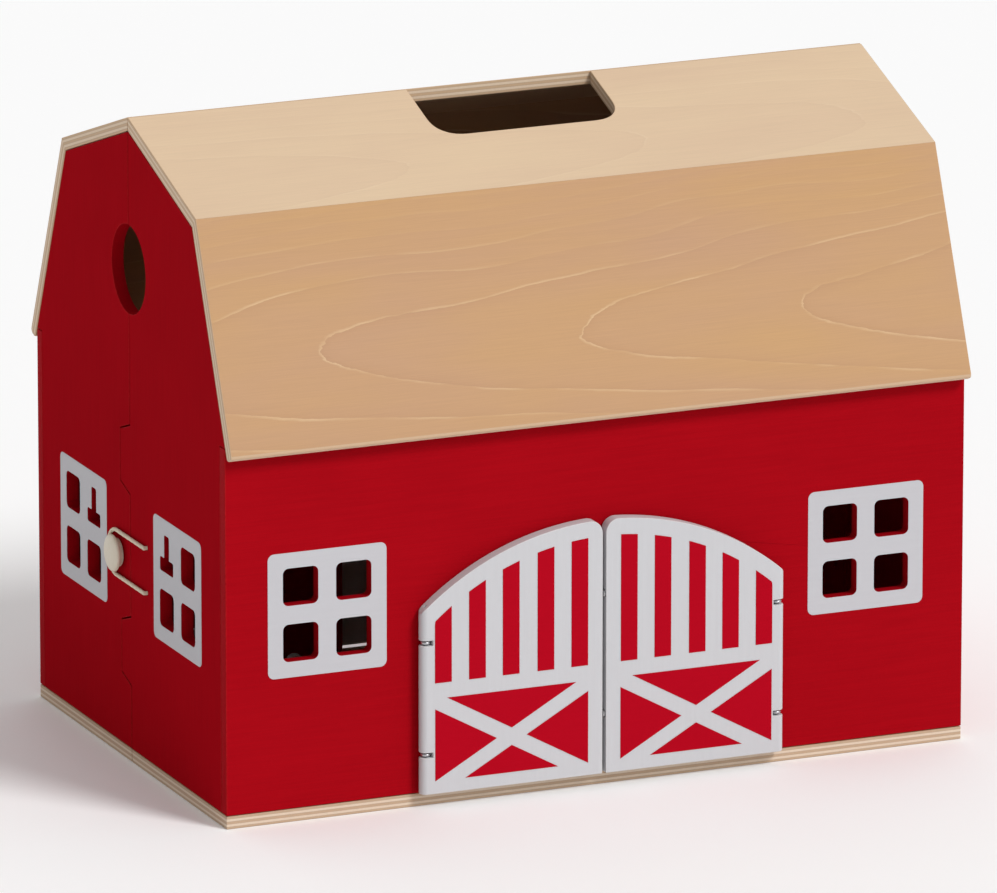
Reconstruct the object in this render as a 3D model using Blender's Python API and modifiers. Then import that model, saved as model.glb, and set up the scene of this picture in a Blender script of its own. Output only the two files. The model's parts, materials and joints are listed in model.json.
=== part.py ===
"""A wooden toy barn that opens like a book.

The barn is sawn down its ridge into a front half and a rear half, hinged together at the right-hand
gable and held shut at the left-hand gable by an elastic loop round a knob. The front has arched double
doors, the rear has a stable door in two leaves. X runs along the ridge, the front faces -Y, Z is up, and
the origin is under the middle of the barn, on the floor.
"""

import math

import bmesh
import bpy
from mathutils import Matrix, Vector

MM = 0.001

# Boards
BARN_LENGTH = 360 * MM
BARN_DEPTH = 228 * MM
BASE_THICKNESS = 6 * MM
WALL_THICKNESS = 6 * MM
GABLE_THICKNESS = 6 * MM
ROOF_THICKNESS = 6 * MM
LEAF_THICKNESS = 6 * MM

# Clearances: between glued boards, between the two halves, and the overrun of every cut
JOINT_GAP = 0.3 * MM
SPLIT_GAP = 0.5 * MM
OVERRUN = 2 * MM
WELD_DISTANCE = 0.01 * MM

# Gambrel roof, given by its outer faces: eave, break and ridge
EAVE_OVERHANG = 8 * MM
EAVE_HEIGHT = 172 * MM
EAVE_ROUND = 2 * MM
LOWER_ROOF_WIDTH = 41 * MM
LOWER_ROOF_RISE = 100 * MM
UPPER_ROOF_RISE = 28 * MM
HAND_SLOT_LENGTH = 90 * MM
HAND_SLOT_DEPTH = 38 * MM
HAND_SLOT_ROUND = 12 * MM

# Four-pane windows, two in each wall and one in each half of the left-hand gable
WINDOW_HEIGHT = 95.75 * MM
PANE_WIDTH = 17 * MM
PANE_HEIGHT = 17.3 * MM
PANE_ROUND = 2.7 * MM
MULLION = 8.5 * MM
KEYHOLE_STEM_WIDTH = 6 * MM
KEYHOLE_FOOT_WIDTH = 16 * MM
KEYHOLE_FOOT_HEIGHT = 6.5 * MM
KEYHOLE_ROUND = 1.2 * MM

# Round hole in both gables, and the tabs that line the halves up at the opening end
OWL_HOLE_RADIUS = 20.5 * MM
OWL_HOLE_DROP = 70 * MM
TAB_LENGTH = 11.4 * MM
TAB_HEIGHT = 32 * MM
TAB_TAPER = 4 * MM
LOWER_TAB_HEIGHT = 52 * MM
UPPER_TAB_HEIGHT = 141.5 * MM
TAB_CLEARANCE = 0.5 * MM

# Arched double doors on the front wall
LEAF_STANDOFF = 0.7 * MM
LEAF_LIFT = 0.8 * MM
ARCH_HALF_SPAN = 88.75 * MM
ARCH_TOP = 125.1 * MM
ARCH_RADIUS = 133 * MM
ARCH_CORNER_ROUND = 6 * MM
MEETING_GAP = 1.8 * MM
DOOR_OVERLAP = 10 * MM
LOWER_EYE_INSET = 18.2 * MM
UPPER_EYE_INSET = 14.2 * MM

# Stable door on the rear wall, a lower and an upper leaf
STABLE_LEAF_WIDTH = 87 * MM
STABLE_LOWER_HEIGHT = 63.2 * MM
STABLE_UPPER_HEIGHT = 64 * MM
STABLE_LEAF_GAP = 1 * MM
STABLE_LEAF_ROUND = 1 * MM
STABLE_SIDE_OVERLAP = 11.5 * MM
STABLE_TOP_OVERLAP = 9 * MM
STABLE_EYE_INSET = 12 * MM

# Hinge pin and screw eyes of every leaf
LEAF_PIN_RADIUS = 0.6 * MM
LEAF_PIN_PAST_EYE = 8 * MM
EYE_WIRE_RADIUS = 0.7 * MM
EYE_SHANK_LENGTH = 7.5 * MM
NOTCH_CLEARANCE = 0.5 * MM

# Magnets in the meeting edges of the double doors
MAGNET_RADIUS = 1.6 * MM
MAGNET_THICKNESS = 2 * MM
MAGNET_PROUD = 0.7 * MM
LOWER_MAGNET_INSET = 27.2 * MM
UPPER_MAGNET_INSET = 35.1 * MM

# Butt hinges between the halves, on the outside of the right-hand gable
LOWER_HINGE_HEIGHT = 40 * MM
UPPER_HINGE_BELOW_HOLE = 44.5 * MM
HINGE_LENGTH = 36 * MM
HINGE_PLATE_WIDTH = 14 * MM
HINGE_PLATE_THICKNESS = 1.2 * MM
HINGE_PLATE_ROUND = 1.5 * MM
KNUCKLE_RADIUS = 2.5 * MM
KNUCKLE_PLAY = 0.4 * MM
KNUCKLE_LIFT = 0.2 * MM
HINGE_PIN_RADIUS = 0.9 * MM
HINGE_PIN_HEAD_RADIUS = 1.6 * MM
HINGE_PIN_HEAD_THICKNESS = 0.6 * MM

# Round-headed screws of the hinges and of the knob
SCREW_SPACING = 20 * MM
SCREW_INSET = 5 * MM
SCREW_RADIUS = 0.9 * MM
SCREW_LENGTH = 6.5 * MM
SCREW_HEAD_RADIUS = 2.2 * MM
SCREW_HEAD_THICKNESS = 0.8 * MM

# Closure on the left-hand gable: a turned knob and an elastic loop
KNOB_Y = 13.7 * MM
KNOB_HEIGHT = 95 * MM
KNOB_RADIUS = 8.5 * MM
KNOB_NECK_RADIUS = 6.5 * MM
KNOB_NECK_LENGTH = 2.4 * MM
KNOB_RIM_THICKNESS = 1.2 * MM
KNOB_SCREW_DEPTH = 3 * MM
ELASTIC_RADIUS = 0.9 * MM
ELASTIC_ROOM = 1.1 * MM
ELASTIC_HOLE_Y = -19.6 * MM
ELASTIC_KNOT_RADIUS = 2.2 * MM
ELASTIC_BEND = 1.8 * MM

# Hayloft floor in each half, on a cleat round three sides
LOFT_THICKNESS = 5 * MM
LOFT_BELOW_EAVE = 5 * MM
LOFT_EDGE = 6 * MM
LOFT_BAY_LENGTH = 190 * MM
LOFT_BAY_DEPTH = 42 * MM
LOFT_BAY_ROUND = 20 * MM
LOFT_CORNER_ROUND = 10 * MM
CLEAT_WIDTH = 6 * MM
CLEAT_HEIGHT = 8 * MM
CLEAT_SIDE_LENGTH = 66 * MM

# Loose fence panels that make the stalls
FENCE_LENGTH = 62 * MM
FENCE_HEIGHT = 46 * MM
FENCE_THICKNESS = 5 * MM
FENCE_POST_WIDTH = 7 * MM
FENCE_POST_ROUND = 3 * MM
FENCE_POST_PROUD = 4 * MM
FENCE_MIDDLE_POST_WIDTH = 6 * MM
FENCE_MIDDLE_POST_THICKNESS = 4 * MM
FENCE_RAIL_HEIGHT = 6 * MM
FENCE_RAILS = 3
FENCE_FIRST_RAIL = 8 * MM
FENCE_FOOT_LENGTH = 22 * MM
FENCE_FOOT_HEIGHT = 5 * MM
FENCE_FOOT_PROUD = 0.5 * MM
STALL_WALL_GAP = 3 * MM
STALL_PANEL_GAP = 1.5 * MM
STALL_FRONT_SHARE = 0.315

# How finely round shapes are cut into facets
CORNER_STEPS = 4
ARCH_STEPS = 24
HOLE_STEPS = 20
SMALL_HOLE_STEPS = 12
WIRE_SIDES = 6
PIN_SIDES = 12
LOOP_STEPS = 16
KNOB_STEPS = 24

# Places that follow from the sizes above
HALF_LENGTH = BARN_LENGTH / 2
HALF_DEPTH = BARN_DEPTH / 2
WALL_FOOT = BASE_THICKNESS + JOINT_GAP
WALL_INNER = HALF_DEPTH - WALL_THICKNESS
ROOM_HALF_LENGTH = HALF_LENGTH - GABLE_THICKNESS
EAVE_REACH = HALF_DEPTH + EAVE_OVERHANG
BREAK_REACH = EAVE_REACH - LOWER_ROOF_WIDTH
BREAK_HEIGHT = EAVE_HEIGHT + LOWER_ROOF_RISE
RIDGE_HEIGHT = BREAK_HEIGHT + UPPER_ROOF_RISE
OWL_HOLE_HEIGHT = RIDGE_HEIGHT - OWL_HOLE_DROP
LOFT_HEIGHT = EAVE_HEIGHT - LOFT_BELOW_EAVE
LEAF_Y = HALF_DEPTH + LEAF_STANDOFF + LEAF_THICKNESS / 2
LEAF_EDGE_RADIUS = LEAF_THICKNESS / 2
LEAF_FOOT = BASE_THICKNESS + LEAF_LIFT
ARCH_CENTRE = ARCH_TOP - ARCH_RADIUS
ARCH_SHOULDER = ARCH_CENTRE + math.sqrt(ARCH_RADIUS ** 2 - ARCH_HALF_SPAN ** 2)
FRONT_HINGE_X = ARCH_HALF_SPAN - LEAF_EDGE_RADIUS
FRONT_EYE_HEIGHTS = (LEAF_FOOT + LOWER_EYE_INSET, ARCH_SHOULDER - UPPER_EYE_INSET)
MAGNET_HEIGHTS = (LEAF_FOOT + LOWER_MAGNET_INSET, ARCH_TOP - UPPER_MAGNET_INSET)
STABLE_HINGE_X = STABLE_LEAF_WIDTH / 2 - LEAF_EDGE_RADIUS
STABLE_LOWER_TOP = LEAF_FOOT + STABLE_LOWER_HEIGHT
STABLE_UPPER_FOOT = STABLE_LOWER_TOP + STABLE_LEAF_GAP
STABLE_TOP = STABLE_UPPER_FOOT + STABLE_UPPER_HEIGHT
STABLE_LOWER_EYE_HEIGHTS = (LEAF_FOOT + STABLE_EYE_INSET, STABLE_LOWER_TOP - STABLE_EYE_INSET)
STABLE_UPPER_EYE_HEIGHTS = (STABLE_UPPER_FOOT + STABLE_EYE_INSET, STABLE_TOP - STABLE_EYE_INSET)
FRONT_WINDOW_X = (ARCH_HALF_SPAN + ROOM_HALF_LENGTH) / 2
REAR_WINDOW_X = (STABLE_LEAF_WIDTH / 2 + HALF_LENGTH) / 2
GABLE_WINDOW_Y = HALF_DEPTH / 2
PIN_BORE_RADIUS = LEAF_PIN_RADIUS + JOINT_GAP
EYE_RING_RADIUS = PIN_BORE_RADIUS + EYE_WIRE_RADIUS
NOTCH_REACH = EYE_RING_RADIUS + EYE_WIRE_RADIUS + JOINT_GAP
NOTCH_HEIGHT = 2 * (EYE_WIRE_RADIUS + NOTCH_CLEARANCE)
SCREW_HOLE_RADIUS = SCREW_RADIUS + JOINT_GAP
HINGE_X = HALF_LENGTH + JOINT_GAP + KNUCKLE_LIFT + KNUCKLE_RADIUS
HINGE_REACH = HINGE_X + KNUCKLE_RADIUS
HINGE_HEIGHTS = (LOWER_HINGE_HEIGHT, OWL_HOLE_HEIGHT - OWL_HOLE_RADIUS - UPPER_HINGE_BELOW_HOLE)
HINGE_SCREW_Y = KNUCKLE_RADIUS + HINGE_PLATE_WIDTH - SCREW_INSET
KNUCKLE_BORE_RADIUS = HINGE_PIN_RADIUS + JOINT_GAP
ELASTIC_X = -(HALF_LENGTH + JOINT_GAP + ELASTIC_RADIUS)
ELASTIC_BEND_RADIUS = KNOB_RADIUS + ELASTIC_ROOM + ELASTIC_RADIUS
ELASTIC_HOLE_HEIGHTS = (KNOB_HEIGHT - ELASTIC_BEND_RADIUS, KNOB_HEIGHT + ELASTIC_BEND_RADIUS)
STALL_SIDE_X = ROOM_HALF_LENGTH - FENCE_LENGTH - 2 * STALL_PANEL_GAP - FENCE_FOOT_LENGTH / 2
STALL_SIDE_Y = WALL_INNER - STALL_WALL_GAP - FENCE_LENGTH / 2
STALL_FRONT_X = ROOM_HALF_LENGTH - STALL_PANEL_GAP - FENCE_LENGTH / 2
STALL_FRONT_Y = STALL_FRONT_SHARE * WALL_INNER

FRONT = -1
REAR = 1
LEFT = -1
RIGHT = 1


def paint(name, colour, roughness, metallic=0.0):
    """A plain finish: one colour, one roughness."""
    material = bpy.data.materials.new(name)
    material.use_nodes = True
    shader = material.node_tree.nodes["Principled BSDF"]
    shader.inputs["Base Color"].default_value = (*colour, 1.0)
    shader.inputs["Roughness"].default_value = roughness
    shader.inputs["Metallic"].default_value = metallic
    return material


def arc(centre, radius, start, end, steps):
    """Points along an arc in the plane, both ends included; angles in degrees."""
    points = []
    for step in range(steps + 1):
        angle = math.radians(start + (end - start) * step / steps)
        points.append(Vector((centre[0] + radius * math.cos(angle), centre[1] + radius * math.sin(angle))))
    return points


def circle(centre, radius, steps):
    """A closed ring of points."""
    return arc(centre, radius, 0, 360, steps)[:-1]


def outline(corners, steps=CORNER_STEPS):
    """A closed outline from (x, y, radius) corners, each rounded to its radius."""
    points = []
    places = [Vector(corner[:2]) for corner in corners]
    for index, (_, _, radius) in enumerate(corners):
        corner = places[index]
        if radius == 0:
            points.append(corner)
            continue
        to_before = (places[index - 1] - corner).normalized()
        to_after = (places[(index + 1) % len(places)] - corner).normalized()
        half_angle = to_before.angle(to_after) / 2
        centre = corner + (to_before + to_after).normalized() * (radius / math.sin(half_angle))
        start = corner + to_before * (radius / math.tan(half_angle)) - centre
        end = corner + to_after * (radius / math.tan(half_angle)) - centre
        sweep = start.angle(end)
        for step in range(steps + 1):
            along = sweep * step / steps
            points.append(centre + (start * math.sin(sweep - along) + end * math.sin(along)) / math.sin(sweep))
    return points


def rectangle(low, high, radius=0.0):
    """An upright rectangle as an outline, with its corners rounded."""
    return outline([(low[0], low[1], radius), (high[0], low[1], radius),
                    (high[0], high[1], radius), (low[0], high[1], radius)])


def mirrored(points, side):
    """The same outline, turned over about the second axis when side is negative."""
    return [Vector((side * point.x, point.y)) for point in points]


def add(obj, collection, material=None):
    """Link an object to its collection and give it its finish."""
    collection.objects.link(obj)
    if material is not None:
        obj.data.materials.append(material)
    return obj


def board(name, loops, thickness, collection, material=None):
    """A board sawn from flat stock: the first loop is its outline, the others are holes in it."""
    curve = bpy.data.curves.new(name, "CURVE")
    curve.dimensions = "2D"
    curve.fill_mode = "BOTH"
    curve.extrude = thickness / 2
    for loop in loops:
        spline = curve.splines.new("POLY")
        spline.points.add(len(loop) - 1)
        for point, place in zip(spline.points, loop):
            point.co = (place[0], place[1], 0, 1)
        spline.use_cyclic_u = True
    return add(bpy.data.objects.new(name, curve), collection, material)


def facing_y(obj, y):
    """Stand a board up so that its outline reads as X and Z."""
    obj.rotation_euler = (math.radians(90), 0, 0)
    obj.location = (0, y, 0)
    return obj


def facing_x(obj, x):
    """Stand a board up so that its outline reads as Y and Z."""
    obj.rotation_euler = (math.radians(90), 0, math.radians(90))
    obj.location = (x, 0, 0)
    return obj


def lying(obj, z):
    """Lay a board flat so that its outline reads as X and Y."""
    obj.location = (0, 0, z)
    return obj


def as_mesh(obj):
    """Turn a curve into a welded mesh in the same place, so that it can be cut or joined."""
    bpy.context.view_layer.update()
    graph = bpy.context.evaluated_depsgraph_get()
    mesh = bpy.data.meshes.new_from_object(obj.evaluated_get(graph))
    work = bmesh.new()
    work.from_mesh(mesh)
    bmesh.ops.remove_doubles(work, verts=work.verts, dist=WELD_DISTANCE)
    work.to_mesh(mesh)
    work.free()
    name, place, collections = obj.name, obj.matrix_world.copy(), list(obj.users_collection)
    bpy.data.objects.remove(obj)
    solid = bpy.data.objects.new(name, mesh)
    solid.matrix_world = place
    for collection in collections:
        collection.objects.link(solid)
    return solid


def box(name, low, high, collection, material=None):
    """A rectangular block between two opposite corners."""
    low, high = Vector(low), Vector(high)
    mesh = bpy.data.meshes.new(name)
    work = bmesh.new()
    bmesh.ops.create_cube(work, size=1)
    bmesh.ops.scale(work, vec=high - low, verts=work.verts)
    work.to_mesh(mesh)
    work.free()
    block = bpy.data.objects.new(name, mesh)
    block.location = (low + high) / 2
    return add(block, collection, material)


def rod(name, start, end, radius, sides, collection, material=None):
    """A round bar between two points."""
    start, end = Vector(start), Vector(end)
    mesh = bpy.data.meshes.new(name)
    work = bmesh.new()
    bmesh.ops.create_cone(work, cap_ends=True, segments=sides, radius1=radius, radius2=radius,
                          depth=(end - start).length)
    work.to_mesh(mesh)
    work.free()
    mesh.shade_smooth()
    mesh.set_sharp_from_angle(angle=math.radians(40))
    bar = bpy.data.objects.new(name, mesh)
    bar.location = (start + end) / 2
    bar.rotation_euler = (end - start).to_track_quat("Z", "Y").to_euler()
    return add(bar, collection, material)


def turned(name, profile, steps, collection, material=None):
    """A turned piece: a profile of (radius, height) points, from the top down, spun about its own Z."""
    mesh = bpy.data.meshes.new(name)
    work = bmesh.new()
    verts = [work.verts.new((radius, 0, height)) for radius, height in profile]
    for before, after in zip(verts, verts[1:]):
        work.edges.new((before, after))
    work.to_mesh(mesh)
    work.free()
    piece = add(bpy.data.objects.new(name, mesh), collection, material)
    spin = piece.modifiers.new("spin", "SCREW")
    spin.axis = "Z"
    spin.steps = steps
    spin.render_steps = steps
    spin.use_merge_vertices = True
    spin.merge_threshold = WELD_DISTANCE
    spin.use_smooth_shade = True
    return piece


def tube(name, path, radius, collection, material=None):
    """A round cord along a list of points, with flat ends."""
    curve = bpy.data.curves.new(name, "CURVE")
    curve.dimensions = "3D"
    curve.bevel_depth = radius
    curve.bevel_resolution = 2
    curve.use_fill_caps = True
    spline = curve.splines.new("POLY")
    spline.points.add(len(path) - 1)
    for point, place in zip(spline.points, path):
        point.co = (*place, 1)
    return add(bpy.data.objects.new(name, curve), collection, material)


def boolean(target, tools, operation):
    """Cut or join a solid with other solids, which stay behind as wire guides and follow it."""
    bpy.context.view_layer.update()
    for tool in tools:
        tool.hide_render = True
        tool.display_type = "WIRE"
        tool.parent = target
        tool.matrix_parent_inverse = target.matrix_world.inverted()
        step = target.modifiers.new(tool.name, "BOOLEAN")
        step.operation = operation
        step.solver = "EXACT"
        step.object = tool
    return target


def joint_axis(name, place, collection):
    """An empty on a joint's axis, which the moving pieces hang from."""
    empty = bpy.data.objects.new(name, None)
    empty.location = place
    empty.empty_display_size = HINGE_LENGTH
    collection.objects.link(empty)
    return empty


def hang(axis, pieces):
    """Parent pieces to a joint's empty without moving them."""
    for piece in pieces:
        piece.parent = axis
        piece.matrix_parent_inverse = Matrix.Translation(-axis.location)


def roof_line(depth):
    """Eave, break and ridge corners of the roof, this far in from its outer face, as (reach, height)."""
    eave = Vector((EAVE_REACH, EAVE_HEIGHT))
    fold = Vector((BREAK_REACH, BREAK_HEIGHT))
    ridge = Vector((0, RIDGE_HEIGHT))
    lower = (fold - eave).normalized()
    upper = (ridge - fold).normalized()
    eave_in = eave + Vector((-lower.y, lower.x)) * depth
    start = fold + Vector((-upper.y, upper.x)) * depth
    fold_in = eave_in + lower * ((start - eave_in).cross(upper) / lower.cross(upper))
    ridge_in = start + upper * ((SPLIT_GAP / 2 - start.x) / upper.x)
    return eave_in, fold_in, ridge_in


def height_under_roof(reach):
    """How high a board may stand at this distance from the split, under the lower roof board."""
    eave, fold, _ = roof_line(ROOF_THICKNESS + JOINT_GAP)
    return eave.y + (fold.y - eave.y) * (eave.x - reach) / (eave.x - fold.x)


def window_panes(centre, keyhole=0):
    """Four rounded panes; keyhole is -1 or 1 where the upper pane on that side is a keyhole instead."""
    panes = []
    for side in (-1, 1):
        for level in (-1, 1):
            x = centre[0] + side * (MULLION + PANE_WIDTH) / 2
            z = centre[1] + level * (MULLION + PANE_HEIGHT) / 2
            foot, top = z - PANE_HEIGHT / 2, z + PANE_HEIGHT / 2
            if side == keyhole and level == 1:
                shoulder = foot + KEYHOLE_FOOT_HEIGHT
                stem, wide = KEYHOLE_STEM_WIDTH / 2, KEYHOLE_FOOT_WIDTH / 2
                panes.append(outline([(x - wide, foot, KEYHOLE_ROUND), (x + wide, foot, KEYHOLE_ROUND),
                                      (x + wide, shoulder, KEYHOLE_ROUND), (x + stem, shoulder, 0),
                                      (x + stem, top, KEYHOLE_ROUND), (x - stem, top, KEYHOLE_ROUND),
                                      (x - stem, shoulder, 0), (x - wide, shoulder, KEYHOLE_ROUND)]))
            else:
                panes.append(rectangle((x - PANE_WIDTH / 2, foot), (x + PANE_WIDTH / 2, top), PANE_ROUND))
    return panes


def eye_holes(hinge_x, heights):
    """Pilot holes in a wall for a leaf's screw eyes."""
    return [circle((hinge_x, height), EYE_WIRE_RADIUS + JOINT_GAP, SMALL_HOLE_STEPS) for height in heights]


def base_plate(half, suffix, collection, material):
    """The bare wooden floor of one half."""
    across = sorted((half * SPLIT_GAP / 2, half * HALF_DEPTH))
    shape = rectangle((-HALF_LENGTH, across[0]), (HALF_LENGTH, across[1]))
    return lying(board("base_" + suffix, [shape], BASE_THICKNESS, collection, material), BASE_THICKNESS / 2)


def front_wall(collection, material):
    """The front wall: an arched doorway down to the base, and a window on each side."""
    half_width = ARCH_HALF_SPAN - DOOR_OVERLAP
    radius = ARCH_RADIUS - DOOR_OVERLAP
    spring = math.degrees(math.acos(half_width / radius))
    top = height_under_roof(HALF_DEPTH)
    shape = [Vector((-HALF_LENGTH, WALL_FOOT)), Vector((-half_width, WALL_FOOT))]
    shape += arc((0, ARCH_CENTRE), radius, 180 - spring, spring, ARCH_STEPS)
    shape += [Vector((half_width, WALL_FOOT)), Vector((HALF_LENGTH, WALL_FOOT)),
              Vector((HALF_LENGTH, top)), Vector((-HALF_LENGTH, top))]
    loops = [shape]
    for side in (LEFT, RIGHT):
        loops += window_panes((side * FRONT_WINDOW_X, WINDOW_HEIGHT))
        loops += eye_holes(side * FRONT_HINGE_X, FRONT_EYE_HEIGHTS)
    wall = board("wall_front", loops, WALL_THICKNESS, collection, material)
    return facing_y(wall, FRONT * (HALF_DEPTH - WALL_THICKNESS / 2))


def rear_wall(collection, material):
    """The rear wall: a doorway for the stable door, and a window on each side."""
    half_width = STABLE_LEAF_WIDTH / 2 - STABLE_SIDE_OVERLAP
    head = STABLE_TOP - STABLE_TOP_OVERLAP
    top = height_under_roof(HALF_DEPTH)
    loops = [outline([(-HALF_LENGTH, WALL_FOOT, 0), (-half_width, WALL_FOOT, 0), (-half_width, head, 0),
                      (half_width, head, 0), (half_width, WALL_FOOT, 0), (HALF_LENGTH, WALL_FOOT, 0),
                      (HALF_LENGTH, top, 0), (-HALF_LENGTH, top, 0)])]
    for side in (LEFT, RIGHT):
        loops += window_panes((side * REAR_WINDOW_X, WINDOW_HEIGHT))
    loops += eye_holes(STABLE_HINGE_X, STABLE_LOWER_EYE_HEIGHTS + STABLE_UPPER_EYE_HEIGHTS)
    wall = board("wall_rear", loops, WALL_THICKNESS, collection, material)
    return facing_y(wall, REAR * (HALF_DEPTH - WALL_THICKNESS / 2))


def gable_outline(tab):
    """Half a gable: tab is -1 for tabs past the split, 1 for the recesses that take them, 0 for neither."""
    edge = SPLIT_GAP / 2
    shape = [Vector((edge, WALL_FOOT))]
    if tab:
        clearance = TAB_CLEARANCE if tab > 0 else 0
        reach = tab * (TAB_LENGTH + clearance)
        root = TAB_HEIGHT / 2 + clearance
        tip = root - TAB_TAPER
        for height in (LOWER_TAB_HEIGHT, UPPER_TAB_HEIGHT):
            shape += [Vector((edge, height - root)), Vector((reach, height - tip)),
                      Vector((reach, height + tip)), Vector((edge, height + root))]
    sweep = math.degrees(math.acos(edge / OWL_HOLE_RADIUS))
    shape += arc((0, OWL_HOLE_HEIGHT), OWL_HOLE_RADIUS, -sweep, sweep, HOLE_STEPS)
    eave, fold, ridge = roof_line(ROOF_THICKNESS + JOINT_GAP)
    shelf = height_under_roof(HALF_DEPTH) + JOINT_GAP
    on_shelf = eave.x + (fold.x - eave.x) * (shelf - eave.y) / (fold.y - eave.y)
    side = WALL_INNER - JOINT_GAP
    shape += [ridge, fold, Vector((on_shelf, shelf)), Vector((side, shelf)), Vector((side, WALL_FOOT))]
    return shape


def gable(name, half, end, collection, material):
    """One of the four half gables; the left-hand pair has windows, tabs and the closure's holes."""
    if end == LEFT:
        loops = [mirrored(gable_outline(half), half)]
        loops += window_panes((half * GABLE_WINDOW_Y, WINDOW_HEIGHT), keyhole=-half)
        if half == FRONT:
            loops += [circle((ELASTIC_HOLE_Y, height), ELASTIC_RADIUS + JOINT_GAP, SMALL_HOLE_STEPS)
                      for height in ELASTIC_HOLE_HEIGHTS]
        else:
            loops.append(circle((KNOB_Y, KNOB_HEIGHT), SCREW_HOLE_RADIUS, SMALL_HOLE_STEPS))
    else:
        loops = [mirrored(gable_outline(0), half)]
        for height in HINGE_HEIGHTS:
            loops += [circle((half * HINGE_SCREW_Y, z), SCREW_HOLE_RADIUS, SMALL_HOLE_STEPS)
                      for z in screw_heights(height)]
    panel = board(name, loops, GABLE_THICKNESS, collection, material)
    return facing_x(panel, end * (HALF_LENGTH - GABLE_THICKNESS / 2))


def roof_lower(half, suffix, collection, material):
    """The steep board from the eave to the break, mitred at the break and eased along the eave."""
    eave, fold, _ = roof_line(0)
    eave_in, fold_in, _ = roof_line(ROOF_THICKNESS)
    back = (eave - fold).normalized() * (JOINT_GAP / 2)
    shape = outline([(*eave, EAVE_ROUND), (*(fold + back), 0), (*(fold_in + back), 0), (*eave_in, EAVE_ROUND)])
    return facing_x(board("roof_lower_" + suffix, [mirrored(shape, half)], BARN_LENGTH, collection, material), 0)


def roof_upper(half, suffix, collection, material):
    """The shallow board from the break to the ridge."""
    _, fold, ridge = roof_line(0)
    _, fold_in, ridge_in = roof_line(ROOF_THICKNESS)
    back = (ridge - fold).normalized() * (JOINT_GAP / 2)
    shape = [fold + back, ridge, ridge_in, fold_in + back]
    return facing_x(board("roof_upper_" + suffix, [mirrored(shape, half)], BARN_LENGTH, collection, material), 0)


def cut_hand_slot(roof_board, cutters):
    """Saw the hand slot into the front edge of the ridge; the rear board closes its far side."""
    side = HAND_SLOT_LENGTH / 2
    shape = outline([(-side, OVERRUN, 0), (-side, -HAND_SLOT_DEPTH, HAND_SLOT_ROUND),
                     (side, -HAND_SLOT_DEPTH, HAND_SLOT_ROUND), (side, OVERRUN, 0)])
    depth = 2 * (UPPER_ROOF_RISE + ROOF_THICKNESS)
    cutter = lying(board("cut_hand_slot", [shape], depth, cutters), RIDGE_HEIGHT - ROOF_THICKNESS)
    return boolean(as_mesh(roof_board), [as_mesh(cutter)], "DIFFERENCE")


def loft_floor(half, suffix, collection, material):
    """A hayloft floor with a rounded bay along its free edge."""
    wall_side = WALL_INNER - JOINT_GAP
    end = ROOM_HALF_LENGTH - JOINT_GAP
    bay = LOFT_BAY_LENGTH / 2
    shape = outline([(-end, wall_side, 0), (-end, LOFT_EDGE, 0), (-bay, LOFT_EDGE, LOFT_CORNER_ROUND),
                     (LOFT_BAY_DEPTH - bay, LOFT_BAY_DEPTH, LOFT_BAY_ROUND),
                     (bay - LOFT_BAY_DEPTH, LOFT_BAY_DEPTH, LOFT_BAY_ROUND), (bay, LOFT_EDGE, LOFT_CORNER_ROUND),
                     (end, LOFT_EDGE, 0), (end, wall_side, 0)])
    shape = [Vector((point.x, half * point.y)) for point in shape]
    floor = board("loft_" + suffix, [shape], LOFT_THICKNESS, collection, material)
    return lying(floor, LOFT_HEIGHT + LOFT_THICKNESS / 2)


def loft_cleat(half, suffix, collection, material):
    """The cleat that carries a hayloft floor, along the wall and a little way along both gables."""
    wall_side = WALL_INNER - JOINT_GAP
    end = ROOM_HALF_LENGTH - JOINT_GAP
    inner_side = wall_side - CLEAT_WIDTH
    inner_end = end - CLEAT_WIDTH
    tip = inner_side - CLEAT_SIDE_LENGTH
    corners = [(-end, tip), (-inner_end, tip), (-inner_end, inner_side), (inner_end, inner_side),
               (inner_end, tip), (end, tip), (end, wall_side), (-end, wall_side)]
    shape = [Vector((x, half * y)) for x, y in corners]
    cleat = board("loft_cleat_" + suffix, [shape], CLEAT_HEIGHT, collection, material)
    return lying(cleat, LOFT_HEIGHT - JOINT_GAP - CLEAT_HEIGHT / 2)


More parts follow.
